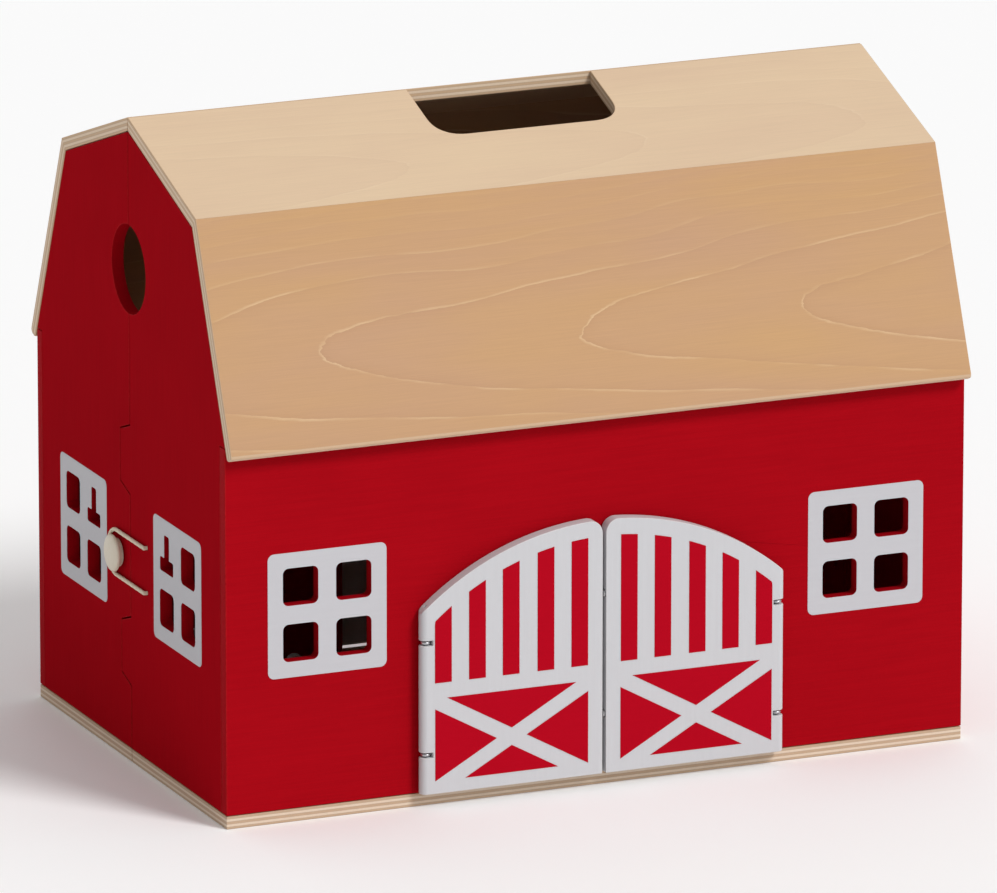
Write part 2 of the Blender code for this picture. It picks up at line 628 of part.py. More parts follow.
def fence(name, place, along_y, collection, material, cutters):
    """A loose fence panel: three rails between three posts, the end posts socketed into a foot each."""
    half_length = FENCE_LENGTH / 2
    rail_top = FENCE_HEIGHT - FENCE_POST_PROUD
    inner = half_length - FENCE_POST_WIDTH
    socket = FENCE_FOOT_HEIGHT / 2
    loops = [outline([(-half_length, socket, 0), (-inner, socket, 0), (-inner, FENCE_FIRST_RAIL, 0),
                      (inner, FENCE_FIRST_RAIL, 0), (inner, socket, 0), (half_length, socket, 0),
                      (half_length, FENCE_HEIGHT, FENCE_POST_ROUND), (inner, FENCE_HEIGHT, FENCE_POST_ROUND),
                      (inner, rail_top, 0), (-inner, rail_top, 0), (-inner, FENCE_HEIGHT, FENCE_POST_ROUND),
                      (-half_length, FENCE_HEIGHT, FENCE_POST_ROUND)])]
    opening = (rail_top - FENCE_FIRST_RAIL - FENCE_RAILS * FENCE_RAIL_HEIGHT) / (FENCE_RAILS - 1)
    for row in range(FENCE_RAILS - 1):
        low = FENCE_FIRST_RAIL + FENCE_RAIL_HEIGHT + row * (FENCE_RAIL_HEIGHT + opening)
        loops.append(rectangle((-inner, low), (inner, low + opening)))
    panel = as_mesh(facing_y(board(name, loops, FENCE_THICKNESS, collection, material), 0))
    post_reach = Vector((FENCE_MIDDLE_POST_WIDTH / 2, FENCE_MIDDLE_POST_THICKNESS / 2, 0))
    post_foot = Vector((0, 0, FENCE_FIRST_RAIL + FENCE_RAIL_HEIGHT / 2))
    post_top = Vector((0, 0, rail_top - FENCE_RAIL_HEIGHT / 2))
    added = [box("middle_post_of_" + name, post_foot - post_reach, post_top + post_reach, cutters)]
    for side in (-1, 1):
        middle = side * (half_length - FENCE_POST_WIDTH / 2)
        reach = FENCE_POST_WIDTH / 2 + FENCE_FOOT_PROUD
        added.append(box("foot_of_" + name, (middle - reach, -FENCE_FOOT_LENGTH / 2, 0),
                         (middle + reach, FENCE_FOOT_LENGTH / 2, FENCE_FOOT_HEIGHT), cutters))
    boolean(panel, added, "UNION")
    panel.location = (*place, WALL_FOOT)
    panel.rotation_euler = (math.radians(90), 0, math.radians(90) if along_y else 0)
    return panel


def arched_leaf_outline(side):
    """One of the double doors: straight stiles under a shared arch, its two upper corners rounded."""
    inner = MEETING_GAP / 2
    outer = ARCH_HALF_SPAN
    reach = ARCH_RADIUS - ARCH_CORNER_ROUND
    outer_x = outer - ARCH_CORNER_ROUND
    inner_x = inner + ARCH_CORNER_ROUND
    outer_z = ARCH_CENTRE + math.sqrt(reach ** 2 - outer_x ** 2)
    inner_z = ARCH_CENTRE + math.sqrt(reach ** 2 - inner_x ** 2)
    outer_angle = math.degrees(math.atan2(outer_z - ARCH_CENTRE, outer_x))
    inner_angle = math.degrees(math.atan2(inner_z - ARCH_CENTRE, inner_x))
    points = [Vector((inner, LEAF_FOOT)), Vector((outer, LEAF_FOOT))]
    points += arc((outer_x, outer_z), ARCH_CORNER_ROUND, 0, outer_angle, CORNER_STEPS)
    points += arc((0, ARCH_CENTRE), ARCH_RADIUS, outer_angle, inner_angle, ARCH_STEPS // 2)[1:-1]
    points += arc((inner_x, inner_z), ARCH_CORNER_ROUND, inner_angle, 180, CORNER_STEPS)
    return mirrored(points, side)


def leaf(name, shape, hinge_x, edge, half, heights, collection, material, cutters, magnets=()):
    """A door leaf: rounded hinge edge, a notch for each screw eye, and a bore for the pin, open below."""
    y = half * LEAF_Y
    blank = as_mesh(facing_y(board(name, [shape], LEAF_THICKNESS, collection, material), y))
    top = max(point.y for point in shape) + OVERRUN
    foot = min(point.y for point in shape) - OVERRUN
    beyond = LEAF_EDGE_RADIUS + OVERRUN
    rounding = arc((0, 0), LEAF_EDGE_RADIUS, 90, -90, 2 * CORNER_STEPS)
    rounding += [Vector((0, -beyond)), Vector((beyond, -beyond)), Vector((beyond, beyond)), Vector((0, beyond))]
    edge_cut = as_mesh(board("round_edge_of_" + name, [mirrored(rounding, edge)], top - foot, cutters))
    edge_cut.location = (hinge_x, y, (top + foot) / 2)
    tools = [edge_cut]
    bore_top = heights[-1] + LEAF_PIN_PAST_EYE + JOINT_GAP
    tools.append(rod("bore_of_" + name, (hinge_x, y, foot), (hinge_x, y, bore_top), PIN_BORE_RADIUS,
                     PIN_SIDES, cutters))
    for height in heights:
        across = sorted((hinge_x - edge * NOTCH_REACH, hinge_x + edge * beyond))
        tools.append(box("notch_of_" + name, (across[0], y - beyond, height - NOTCH_HEIGHT / 2),
                         (across[1], y + beyond, height + NOTCH_HEIGHT / 2), cutters))
    for height in magnets:
        start = edge * (MEETING_GAP / 2 - OVERRUN)
        seat = edge * (MEETING_GAP / 2 + MAGNET_THICKNESS - MAGNET_PROUD + JOINT_GAP)
        tools.append(rod("magnet_seat_of_" + name, (start, y, height), (seat, y, height),
                         MAGNET_RADIUS + JOINT_GAP, PIN_SIDES, cutters))
    return boolean(blank, tools, "DIFFERENCE")


def leaf_pin(name, hinge_x, half, foot, heights, collection, material):
    """The steel wire that a leaf turns on, driven up from its lower edge."""
    y = half * LEAF_Y
    return rod(name, (hinge_x, y, foot + JOINT_GAP), (hinge_x, y, heights[-1] + LEAF_PIN_PAST_EYE),
               LEAF_PIN_RADIUS, PIN_SIDES, collection, material)


def screw_eye(name, place, half, collection, material, cutters):
    """A ring of wire round the pin, with a shank that runs back into the wall."""
    mesh = bpy.data.meshes.new(name)
    work = bmesh.new()
    verts = [work.verts.new((EYE_RING_RADIUS + point.x, 0, point.y))
             for point in circle((0, 0), EYE_WIRE_RADIUS, WIRE_SIDES)]
    for before, after in zip(verts, verts[1:] + verts[:1]):
        work.edges.new((before, after))
    bmesh.ops.spin(work, geom=work.verts[:] + work.edges[:], axis=(0, 0, 1), angle=math.radians(360),
                   steps=PIN_SIDES, use_merge=True)
    bmesh.ops.remove_doubles(work, verts=work.verts, dist=WELD_DISTANCE)
    bmesh.ops.recalc_face_normals(work, faces=work.faces)
    work.to_mesh(mesh)
    work.free()
    mesh.shade_smooth()
    eye = add(bpy.data.objects.new(name, mesh), collection, material)
    shank = rod("shank_of_" + name, (0, -half * EYE_RING_RADIUS, 0),
                (0, -half * (EYE_RING_RADIUS + EYE_SHANK_LENGTH), 0), EYE_WIRE_RADIUS, PIN_SIDES, cutters)
    boolean(eye, [shank], "UNION")
    eye.location = place
    return eye


def screw_eyes(name, hinge_x, half, heights, collection, material, cutters):
    """The screw eyes that carry one leaf, the lowest first."""
    return [screw_eye(name + "_eye_" + str(number), (hinge_x, half * LEAF_Y, height), half, collection,
                      material, cutters) for number, height in enumerate(heights, start=1)]


def door_magnets(name, side, collection, material):
    """Small magnets, a little proud of a leaf's meeting edge, the lowest first."""
    y = FRONT * LEAF_Y
    face = side * (MEETING_GAP / 2 - MAGNET_PROUD)
    back = face + side * MAGNET_THICKNESS
    return [rod(name + "_magnet_" + str(number), (face, y, height), (back, y, height), MAGNET_RADIUS,
                PIN_SIDES, collection, material) for number, height in enumerate(MAGNET_HEIGHTS, start=1)]


def screw_heights(hinge_height):
    """Heights of the two screws of a hinge plate."""
    return hinge_height - SCREW_SPACING / 2, hinge_height + SCREW_SPACING / 2


def hinge_plate(name, half, height, collection, material, cutters):
    """One plate of a butt hinge with its knuckles: the outer two in front, the middle one behind."""
    low = height - HINGE_LENGTH / 2
    top = height + HINGE_LENGTH / 2
    inner = KNUCKLE_RADIUS + JOINT_GAP
    outer = KNUCKLE_RADIUS + HINGE_PLATE_WIDTH
    loops = [outline([(half * inner, low, 0), (half * outer, low, HINGE_PLATE_ROUND),
                      (half * outer, top, HINGE_PLATE_ROUND), (half * inner, top, 0)])]
    loops += [circle((half * HINGE_SCREW_Y, z), SCREW_HOLE_RADIUS, SMALL_HOLE_STEPS)
              for z in screw_heights(height)]
    plate_x = HALF_LENGTH + JOINT_GAP + HINGE_PLATE_THICKNESS / 2
    plate = as_mesh(facing_x(board(name, loops, HINGE_PLATE_THICKNESS, collection, material), plate_x))
    third = HINGE_LENGTH / 3
    if half == FRONT:
        spans = [(low, low + third - KNUCKLE_PLAY / 2), (top - third + KNUCKLE_PLAY / 2, top)]
    else:
        spans = [(low + third + KNUCKLE_PLAY / 2, top - third - KNUCKLE_PLAY / 2)]
    joined = []
    for start, end in spans:
        ring = circle((HINGE_X, 0), KNUCKLE_RADIUS, HOLE_STEPS)
        bore = circle((HINGE_X, 0), KNUCKLE_BORE_RADIUS, SMALL_HOLE_STEPS)
        knuckle = lying(board("knuckle_of_" + name, [ring, bore], end - start, cutters), (start + end) / 2)
        across = sorted((half * (inner + HINGE_PLATE_ROUND), half * KNUCKLE_BORE_RADIUS))
        web = box("web_of_" + name, (HALF_LENGTH + JOINT_GAP + KNUCKLE_LIFT, across[0], start),
                  (HINGE_X - KNUCKLE_BORE_RADIUS - 2 * JOINT_GAP, across[1], end), cutters)
        joined += [web, as_mesh(knuckle)]
    return boolean(plate, joined, "UNION")


def hinge_pin(name, height, collection, material):
    """The pin of a butt hinge, with a low head at each end."""
    reach = HINGE_LENGTH / 2 + JOINT_GAP
    cap = reach + HINGE_PIN_HEAD_THICKNESS
    profile = [(0, cap), (HINGE_PIN_RADIUS, cap), (HINGE_PIN_HEAD_RADIUS, reach), (HINGE_PIN_RADIUS, reach),
               (HINGE_PIN_RADIUS, -reach), (HINGE_PIN_HEAD_RADIUS, -reach), (HINGE_PIN_RADIUS, -cap), (0, -cap)]
    pin = turned(name, profile, PIN_SIDES, collection, material)
    pin.location = (HINGE_X, 0, height)
    return pin


def screw(name, length, collection, material):
    """A round-headed screw along its own Z, with the underside of its head at the origin."""
    profile = [(0, SCREW_HEAD_THICKNESS), (SCREW_HEAD_RADIUS / 2, SCREW_HEAD_THICKNESS),
               (SCREW_HEAD_RADIUS, SCREW_HEAD_THICKNESS / 3), (SCREW_HEAD_RADIUS, 0), (SCREW_RADIUS, 0),
               (SCREW_RADIUS, SCREW_RADIUS - length), (0, -length)]
    return turned(name, profile, PIN_SIDES, collection, material)


def hinge_screws(name, half, height, collection, material):
    """The screws through one hinge plate into the gable, the lowest first."""
    screws = []
    for number, z in enumerate(screw_heights(height), start=1):
        fastener = screw(name + "_screw_" + str(number), SCREW_LENGTH, collection, material)
        fastener.rotation_euler = (0, math.radians(90), 0)
        fastener.location = (HALF_LENGTH + HINGE_PLATE_THICKNESS + 2 * JOINT_GAP, half * HINGE_SCREW_Y, z)
        screws.append(fastener)
    return screws


def closure_knob(collection, material):
    """A turned knob: domed head, a waist for the elastic, and a blind hole for its screw."""
    head = HINGE_REACH - HALF_LENGTH
    rim = JOINT_GAP + KNOB_NECK_LENGTH
    dome = head - rim - KNOB_RIM_THICKNESS
    bore = JOINT_GAP + KNOB_SCREW_DEPTH + JOINT_GAP
    profile = [(0, head)]
    for step in range(1, CORNER_STEPS + 1):
        angle = math.radians(90 * step / CORNER_STEPS)
        profile.append((KNOB_RADIUS * math.sin(angle), head - dome * (1 - math.cos(angle))))
    profile += [(KNOB_RADIUS, rim), (KNOB_NECK_RADIUS, rim), (KNOB_NECK_RADIUS, JOINT_GAP),
                (SCREW_HOLE_RADIUS, JOINT_GAP), (SCREW_HOLE_RADIUS, bore), (0, bore)]
    knob = turned("closure_knob", profile, KNOB_STEPS, collection, material)
    knob.rotation_euler = (0, math.radians(-90), 0)
    knob.location = (-HALF_LENGTH, KNOB_Y, KNOB_HEIGHT)
    return knob


def knob_screw(collection, material):
    """The screw that holds the knob, from inside the gable."""
    length = 2 * JOINT_GAP + GABLE_THICKNESS + KNOB_SCREW_DEPTH
    fastener = screw("closure_knob_screw", length, collection, material)
    fastener.rotation_euler = (0, math.radians(90), 0)
    fastener.location = (JOINT_GAP - ROOM_HALF_LENGTH, KNOB_Y, KNOB_HEIGHT)
    return fastener


def elastic_loop(collection, material):
    """The outer part of the elastic, from one gable hole round the knob and back to the other hole."""
    bend = (KNOB_Y - ELASTIC_HOLE_Y, 0)
    route = [Vector((0, -ELASTIC_BEND_RADIUS))]
    route += arc(bend, ELASTIC_BEND_RADIUS, -90, 90, LOOP_STEPS)
    route += [Vector((0, ELASTIC_BEND_RADIUS))]
    cord = tube("elastic_loop", [(0, point.x, point.y) for point in route], ELASTIC_RADIUS, collection, material)
    cord.location = (ELASTIC_X, ELASTIC_HOLE_Y, KNOB_HEIGHT)
    return cord


def elastic_ends(collection, material, cutters):
    """The elastic's two ends: through the gable's holes and tied in a knot behind them."""
    inside = GABLE_THICKNESS + JOINT_GAP + ELASTIC_RADIUS
    reach = ELASTIC_BEND_RADIUS
    route = outline([(0, -reach, 0), (inside, -reach, ELASTIC_BEND), (inside, reach, ELASTIC_BEND), (0, reach, 0)])
    cord = tube("elastic_ends", [(point.x, 0, point.y) for point in route], ELASTIC_RADIUS, collection, material)
    cord = as_mesh(cord)
    mesh = bpy.data.meshes.new("knot")
    work = bmesh.new()
    bmesh.ops.create_uvsphere(work, u_segments=PIN_SIDES, v_segments=WIRE_SIDES, radius=ELASTIC_KNOT_RADIUS)
    work.to_mesh(mesh)
    work.free()
    knot = add(bpy.data.objects.new("knot_of_elastic", mesh), cutters)
    knot.location = (GABLE_THICKNESS + JOINT_GAP + ELASTIC_KNOT_RADIUS, 0, 0)
    boolean(cord, [knot], "UNION")
    cord.location = (-HALF_LENGTH, ELASTIC_HOLE_Y, KNOB_HEIGHT)
    return cord


def shell(half, suffix, barn, cutters, wood, red):
    """The glued boards of one half."""
    boards = [base_plate(half, suffix, barn, wood), roof_lower(half, suffix, barn, wood)]
    boards += [loft_floor(half, suffix, barn, wood), loft_cleat(half, suffix, barn, wood)]
    boards.append(front_wall(barn, red) if half == FRONT else rear_wall(barn, red))
    boards.append(gable("gable_left_" + suffix, half, LEFT, barn, red))
    boards.append(gable("gable_right_" + suffix, half, RIGHT, barn, red))
    upper = roof_upper(half, suffix, barn, wood)
    boards.append(cut_hand_slot(upper, cutters) if half == FRONT else upper)
    return boards


def stalls(half, suffix, barn, cutters, white):
    """The three loose fence panels of one half."""
    panels = [(-STALL_FRONT_X, half * STALL_FRONT_Y, False), (-STALL_SIDE_X, half * STALL_SIDE_Y, True),
              (STALL_SIDE_X, half * STALL_SIDE_Y, True)]
    return [fence("fence_" + suffix + "_" + str(number), (x, y), along_y, barn, white, cutters)
            for number, (x, y, along_y) in enumerate(panels, start=1)]


def hinge_half(half, suffix, barn, cutters, steel):
    """The plates and screws of both butt hinges on one half."""
    pieces = []
    for level, height in zip(("lower", "upper"), HINGE_HEIGHTS):
        name = "hinge_" + level + "_" + suffix
        pieces.append(hinge_plate(name + "_plate", half, height, barn, steel, cutters))
        pieces += hinge_screws(name, half, height, barn, steel)
    return pieces


def double_doors(barn, cutters, white, steel):
    """The arched leaves on the front, each with its pin, magnets and screw eyes."""
    for side, word in ((LEFT, "left"), (RIGHT, "right")):
        name = "door_" + word
        hinge_x = side * FRONT_HINGE_X
        axis = joint_axis(name + "_axis", (hinge_x, FRONT * LEAF_Y, 0), barn)
        moving = door_magnets(name, side, barn, steel)
        moving.append(leaf(name + "_leaf", arched_leaf_outline(side), hinge_x, side, FRONT,
                           FRONT_EYE_HEIGHTS, barn, white, cutters, MAGNET_HEIGHTS))
        moving.append(leaf_pin(name + "_pin", hinge_x, FRONT, LEAF_FOOT, FRONT_EYE_HEIGHTS, barn, steel))
        hang(axis, moving)
        screw_eyes(name, hinge_x, FRONT, FRONT_EYE_HEIGHTS, barn, steel, cutters)


def stable_door(barn, cutters, white, steel):
    """Both leaves of the stable door; returns what rides on the rear half."""
    on_rear_half = []
    half_leaf = STABLE_LEAF_WIDTH / 2
    leaves = (("lower", LEAF_FOOT, STABLE_LOWER_TOP, STABLE_LOWER_EYE_HEIGHTS),
              ("upper", STABLE_UPPER_FOOT, STABLE_TOP, STABLE_UPPER_EYE_HEIGHTS))
    for word, foot, top, heights in leaves:
        name = "stable_" + word
        axis = joint_axis(name + "_axis", (STABLE_HINGE_X, REAR * LEAF_Y, 0), barn)
        shape = rectangle((-half_leaf, foot), (half_leaf, top), STABLE_LEAF_ROUND)
        hang(axis, [leaf(name + "_leaf", shape, STABLE_HINGE_X, RIGHT, REAR, heights, barn, white, cutters),
                    leaf_pin(name + "_pin", STABLE_HINGE_X, REAR, foot, heights, barn, steel)])
        on_rear_half += screw_eyes(name, STABLE_HINGE_X, REAR, heights, barn, steel, cutters)
        on_rear_half.append(axis)
    return on_rear_half


def main():
    for old in list(bpy.data.objects):
        bpy.data.objects.remove(old)
    barn = bpy.data.collections.new("toy_barn")
    cutters = bpy.data.collections.new("cutters")
    for collection in (barn, cutters):
        bpy.context.scene.collection.children.link(collection)

    wood = paint("bare_wood", (0.66, 0.45, 0.27), 0.6)
    red = paint("red_paint", (0.40, 0.004, 0.012), 0.5)
    white = paint("white_paint", (0.65, 0.66, 0.67), 0.45)
    cream = paint("cream_paint", (0.72, 0.68, 0.58), 0.4)
    steel = paint("steel", (0.55, 0.55, 0.56), 0.35, 1.0)
    elastic = paint("elastic", (0.75, 0.70, 0.60), 0.9)

    shell(FRONT, "front", barn, cutters, wood, red)
    stalls(FRONT, "front", barn, cutters, white)
    hinge_half(FRONT, "front", barn, cutters, steel)
    double_doors(barn, cutters, white, steel)
    elastic_ends(barn, elastic, cutters)
    loop_axis = joint_axis("elastic_axis", (ELASTIC_X, ELASTIC_HOLE_Y, KNOB_HEIGHT), barn)
    hang(loop_axis, [elastic_loop(barn, elastic)])

    rear_parts = shell(REAR, "rear", barn, cutters, wood, red)
    rear_parts += stalls(REAR, "rear", barn, cutters, white)
    rear_parts += hinge_half(REAR, "rear", barn, cutters, steel)
    rear_parts += [hinge_pin("hinge_" + level + "_pin", height, barn, steel)
                   for level, height in zip(("lower", "upper"), HINGE_HEIGHTS)]
    rear_parts += stable_door(barn, cutters, white, steel)
    rear_parts += [closure_knob(barn, cream), knob_screw(barn, steel)]
    hang(joint_axis("rear_half_axis", (HINGE_X, 0, 0), barn), rear_parts)


if __name__ == "__main__":
    main()
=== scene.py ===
# %% [markdown]
# # A wooden toy barn
#
# This lesson dresses a small plywood barn. Its boards, doors and hinges already exist as exact solids.
# Here they get eased edges, wood grain, paint, printed windows and doors, a camera and soft light.
# Nothing is moved: every piece stays where its solid is and rides on the same moving body.

# %% Load the frame
import json
from math import atan, atan2, cos, degrees, radians, sin, sqrt, tau

import bmesh
import bpy
from mathutils import Matrix, Vector


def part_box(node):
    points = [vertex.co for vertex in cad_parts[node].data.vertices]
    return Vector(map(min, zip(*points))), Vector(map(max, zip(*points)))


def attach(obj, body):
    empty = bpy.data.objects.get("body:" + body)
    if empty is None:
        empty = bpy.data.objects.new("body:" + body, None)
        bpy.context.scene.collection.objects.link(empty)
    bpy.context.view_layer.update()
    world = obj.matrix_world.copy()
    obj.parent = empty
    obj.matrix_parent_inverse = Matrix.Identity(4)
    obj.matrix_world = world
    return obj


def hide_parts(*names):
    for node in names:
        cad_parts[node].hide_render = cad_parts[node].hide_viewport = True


MM = 0.001
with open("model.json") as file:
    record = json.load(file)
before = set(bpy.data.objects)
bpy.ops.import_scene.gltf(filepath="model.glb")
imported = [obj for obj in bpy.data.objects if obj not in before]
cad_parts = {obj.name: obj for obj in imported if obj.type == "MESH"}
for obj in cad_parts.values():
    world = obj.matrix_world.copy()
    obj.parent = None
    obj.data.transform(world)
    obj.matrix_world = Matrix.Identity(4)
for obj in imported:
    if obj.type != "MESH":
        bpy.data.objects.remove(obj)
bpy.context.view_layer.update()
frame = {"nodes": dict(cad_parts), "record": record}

# %% [markdown]
# ## The camera
#
# The picture to match was taken from far away with a long lens, so upright edges stay nearly parallel.
# The camera's three directions and its place were worked out from the corners of what the picture shows.
# A matrix with those directions as its columns puts the camera exactly there.

# %% Camera
CAMERA_RIGHT = Vector((0.919047, -0.394148, 0.000473))
CAMERA_UP = Vector((0.103777, 0.243136, 0.964425))
CAMERA_FORWARD = Vector((0.380241, 0.886302, -0.264357))
CAMERA_PLACE = Vector((-2.2552, -5.2570, 1.6964))
CAMERA_LENS = 471.3


def added(name, data):
    """A new object in the scene, for a mesh, a camera or a light."""
    made = bpy.data.objects.new(name, data)
    bpy.context.scene.collection.objects.link(made)
    return made


camera_data = bpy.data.cameras.new("camera")
camera_data.lens = CAMERA_LENS
camera = added("camera", camera_data)
turn = Matrix((CAMERA_RIGHT, CAMERA_UP, -CAMERA_FORWARD)).transposed()
camera.matrix_world = Matrix.Translation(CAMERA_PLACE) @ turn.to_4x4()
bpy.context.scene.camera = camera
bpy.context.scene.view_settings.view_transform = "Standard"
print("camera stands", round(CAMERA_PLACE.length, 2), "m away")

# %% [markdown]
# ## Writing materials as sums
#
# A material is a small net of nodes. Drawn by hand it is slow to read, so two short classes help.
# Channel wraps one output socket, and Python's operators on it add Math nodes. Finish is a material
# being made: its node method sets a node's own settings first and then feeds its sockets.

# %% Channel and Finish
GRAIN_DEPTH = 0.05 * MM


def operator(operation, swapped=False):
    """A method that adds one Math node."""
    def method(self, other=0.0):
        first, second = (other, self) if swapped else (self, other)
        return self.finish.node("Math", {"operation": operation}, {0: first, 1: second})
    return method


class Channel:
    """One output socket of a finish. Sums on it become Math nodes."""

    def __init__(self, finish, socket):
        self.finish = finish
        self.socket = socket

    __add__ = __radd__ = operator("ADD")
    __mul__ = __rmul__ = operator("MULTIPLY")
    __sub__ = operator("SUBTRACT")
    __rsub__ = operator("SUBTRACT", swapped=True)
    __truediv__ = operator("DIVIDE")
    __pow__ = operator("POWER")
    __lt__ = operator("LESS_THAN")
    __gt__ = operator("GREATER_THAN")
    __abs__ = operator("ABSOLUTE")
    fraction = operator("FRACT")


class Finish:
    """A material, or the world around it, while it is being made."""

    def __init__(self, owner, shader="Principled BSDF"):
        self.owner = owner
        owner.use_nodes = True
        self.tree = owner.node_tree
        self.shader = self.tree.nodes[shader]

    def feed(self, socket, value):
        if isinstance(value, Channel):
            self.tree.links.new(value.socket, socket)
        else:
            socket.default_value = value

    def node(self, kind, settings=None, values=None, output=0):
        made = self.tree.nodes.new("ShaderNode" + kind)
        for name, value in (settings or {}).items():
            if name == "stops":
                ramp = made.color_ramp.elements
                while len(ramp) < len(value):
                    ramp.new(0.5)
                for element, (position, level) in zip(ramp, value):
                    element.position = position
                    element.color = (level, level, level, 1)
            else:
                setattr(made, name, value)
        for name, value in (values or {}).items():
            self.feed(made.inputs[name], value)
        return Channel(self, made.outputs[output])

    def set(self, **sockets):
        """Give the shader's own sockets a value or a channel."""
        for name, value in sockets.items():
            self.feed(self.shader.inputs[name.replace("_", " ")], value)

    def millimetres(self):
        """Where a point of the surface is, in millimetres, in the barn's own frame."""
        place = self.node("TexCoord", output="Object")
        return self.node("VectorMath", {"operation": "SCALE"}, {0: place, "Scale": 1 / MM})

    def along(self, point, direction):
        return self.node("VectorMath", {"operation": "DOT_PRODUCT"}, {0: point, 1: direction}, "Value")

    def noise(self, point, stretch, detail=2.0, roughness=0.5):
        """Cloudy noise. The smaller a number of the stretch, the longer its clouds in that direction."""
        place = self.node("VectorMath", {"operation": "MULTIPLY"}, {0: point, 1: stretch})
        return self.node("TexNoise", {"noise_dimensions": "3D"},
                         {"Vector": place, "Scale": 1.0, "Detail": detail, "Roughness": roughness})

    def ramp(self, value, stops):
        return self.node("ValToRGB", {"stops": stops}, {0: value})

    def mix(self, share, first, second, blend="MIX"):
        return self.node("Mix", {"data_type": "RGBA", "blend_type": blend},
                         {0: share, 6: first, 7: second}, 2)

    def grain(self, height, strength):
        """Shallow relief, as wood fibres leave it."""
        return self.node("Bump", values={"Height": height, "Distance": GRAIN_DEPTH, "Strength": strength})


def shade(colour):
    """A colour as a screen shows it, from 0 to 255, made linear for the renderer."""
    linear = [((c / 255 + 0.055) / 1.055) ** 2.4 if c > 10 else c / 255 / 12.92 for c in colour]
    return (*linear, 1.0)


print("classes for materials ready")

# %% [markdown]
# ## Bare plywood
#
# The roof boards, floors and lofts are bare plywood. Its veneer is peeled from a log, so the grain
# makes a few long nested arches, each a thin paler line. An arch is where the square of the breadth
# less a share of the length is a whole number. Dividing by the slope of that sum turns it into
# millimetres, so that a line is as thin at its tip as along its sides. The sawn edge shows the plies.

# %% Plywood finish
BOARD_THICKNESS = 6.0
LOFT_THICKNESS = 5.0
PLIES = 5
FACE_SKIN = 0.06
NO_SAWN_EDGE = 1000
ARCH_SPREAD = 0.0013
ARCH_PITCH = 0.00885
ARCH_SWAY = 24
LINE_REACH = 10
GRAIN_REACH = 80
DARK_LINE = (146, 100, 66)


def plywood(name, across, through, face, centre, colours, layers, opens=1, start=0.0, marked=1.0,
            thickness=BOARD_THICKNESS):
    """Plywood with its grain along X. Across and through are the board's other two directions."""
    finish = Finish(bpy.data.materials.new(name))
    pale, deep, line = map(shade, colours)
    point = finish.millimetres()
    length = finish.along(point, (1, 0, 0))
    breadth = finish.along(point, across) - centre
    depth = finish.along(point, through) - face

    sway = finish.noise(point, (0.006, 0.015, 0.015)) - 0.5
    nibble = finish.noise(point, (0.12, 0.3, 0.3), 3.0, 0.6) - 0.5
    bowed = breadth + sway * ARCH_SWAY
    climb = bowed * bowed * ARCH_SPREAD - length * (opens * ARCH_PITCH)
    layer = (climb + sway * 0.7 + nibble * 0.06 + start).fraction()
    slope = (bowed * bowed * (4 * ARCH_SPREAD ** 2) + ARCH_PITCH ** 2) ** 0.5
    pale_line = finish.ramp(layer / slope / LINE_REACH, [(0.0, 1.0), (0.05, 0.75), (0.11, 0.0)])
    dark_line = finish.ramp((1 - layer) / slope / LINE_REACH, [(0.0, 1.0), (0.2, 0.3), (0.7, 0.0)])
    broken = finish.ramp(finish.noise(point, (0.03, 0.09, 0.09)), [(0.42, 0.0), (0.62, 1.0)])
    near = finish.ramp(abs(bowed) / GRAIN_REACH, [(0.0, 1.0), (0.3, 0.85), (0.6, 0.22), (0.9, 0.05)])

    fibres = finish.noise(point, (0.04, 2.2, 2.2), 4.0, 0.6)
    streaks = finish.ramp(fibres, [(0.3, 0.94), (0.66, 1.0)])
    clouds = finish.ramp(finish.noise(point, (0.008, 0.03, 0.03)), [(0.3, 0.0), (0.7, 1.0)])
    ground = finish.mix(clouds * 0.8 + layer * 0.2, pale, deep)
    ground = finish.mix(dark_line * near * (0.13 * marked), ground, shade(DARK_LINE))
    veneer = finish.mix(pale_line * near * (0.06 + 0.62 * broken) * marked, ground, line)
    veneer = finish.mix(1.0, veneer, streaks, "MULTIPLY")

    light_layer, dark_layer, glue_line = map(shade, layers)
    ply = depth / (thickness / PLIES)
    odd = finish.ramp((ply / 2).fraction(), [(0.49, 0.0), (0.51, 1.0)])
    glue = finish.ramp(ply.fraction(), [(0.0, 1.0), (0.12, 0.0), (0.88, 0.0), (1.0, 1.0)])
    pores = finish.noise(point, (1.6, 1.6, 1.6), 3.0)
    edge = finish.mix(odd, dark_layer, light_layer)
    edge = finish.mix(glue * 0.45 + pores * 0.2, edge, glue_line)
    sawn = (depth > FACE_SKIN) * (depth < thickness - FACE_SKIN)
    finish.set(Base_Color=finish.mix(sawn, veneer, edge), Roughness=0.55 + 0.2 * fibres,
               Specular_IOR_Level=0.25, Normal=finish.grain(fibres, 0.6))
    return finish.owner


AS_DRAWN = Vector((1, 1, 1))
MIRRORED = Vector((1, -1, 1))
ALONG_Y = Vector((0, 1, 0))
ALONG_Z = Vector((0, 0, 1))
WARM = ((196, 154, 108), (191, 150, 117), (222, 191, 152))
PALE = ((222, 195, 162), (216, 187, 157), (236, 216, 190))
ROOF_LAYERS = ((230, 209, 184), (208, 178, 146), (158, 122, 92))
BASE_LAYERS = ((226, 207, 185), (196, 168, 141), (148, 118, 94))
roof_break = Vector((0, -81, 272))
roof_eave = Vector((0, -122, 172))
roof_ridge = Vector((0, 0, 300))
lower_up = (roof_break - roof_eave).normalized()
upper_up = (roof_ridge - roof_break).normalized()
roof_woods = {}


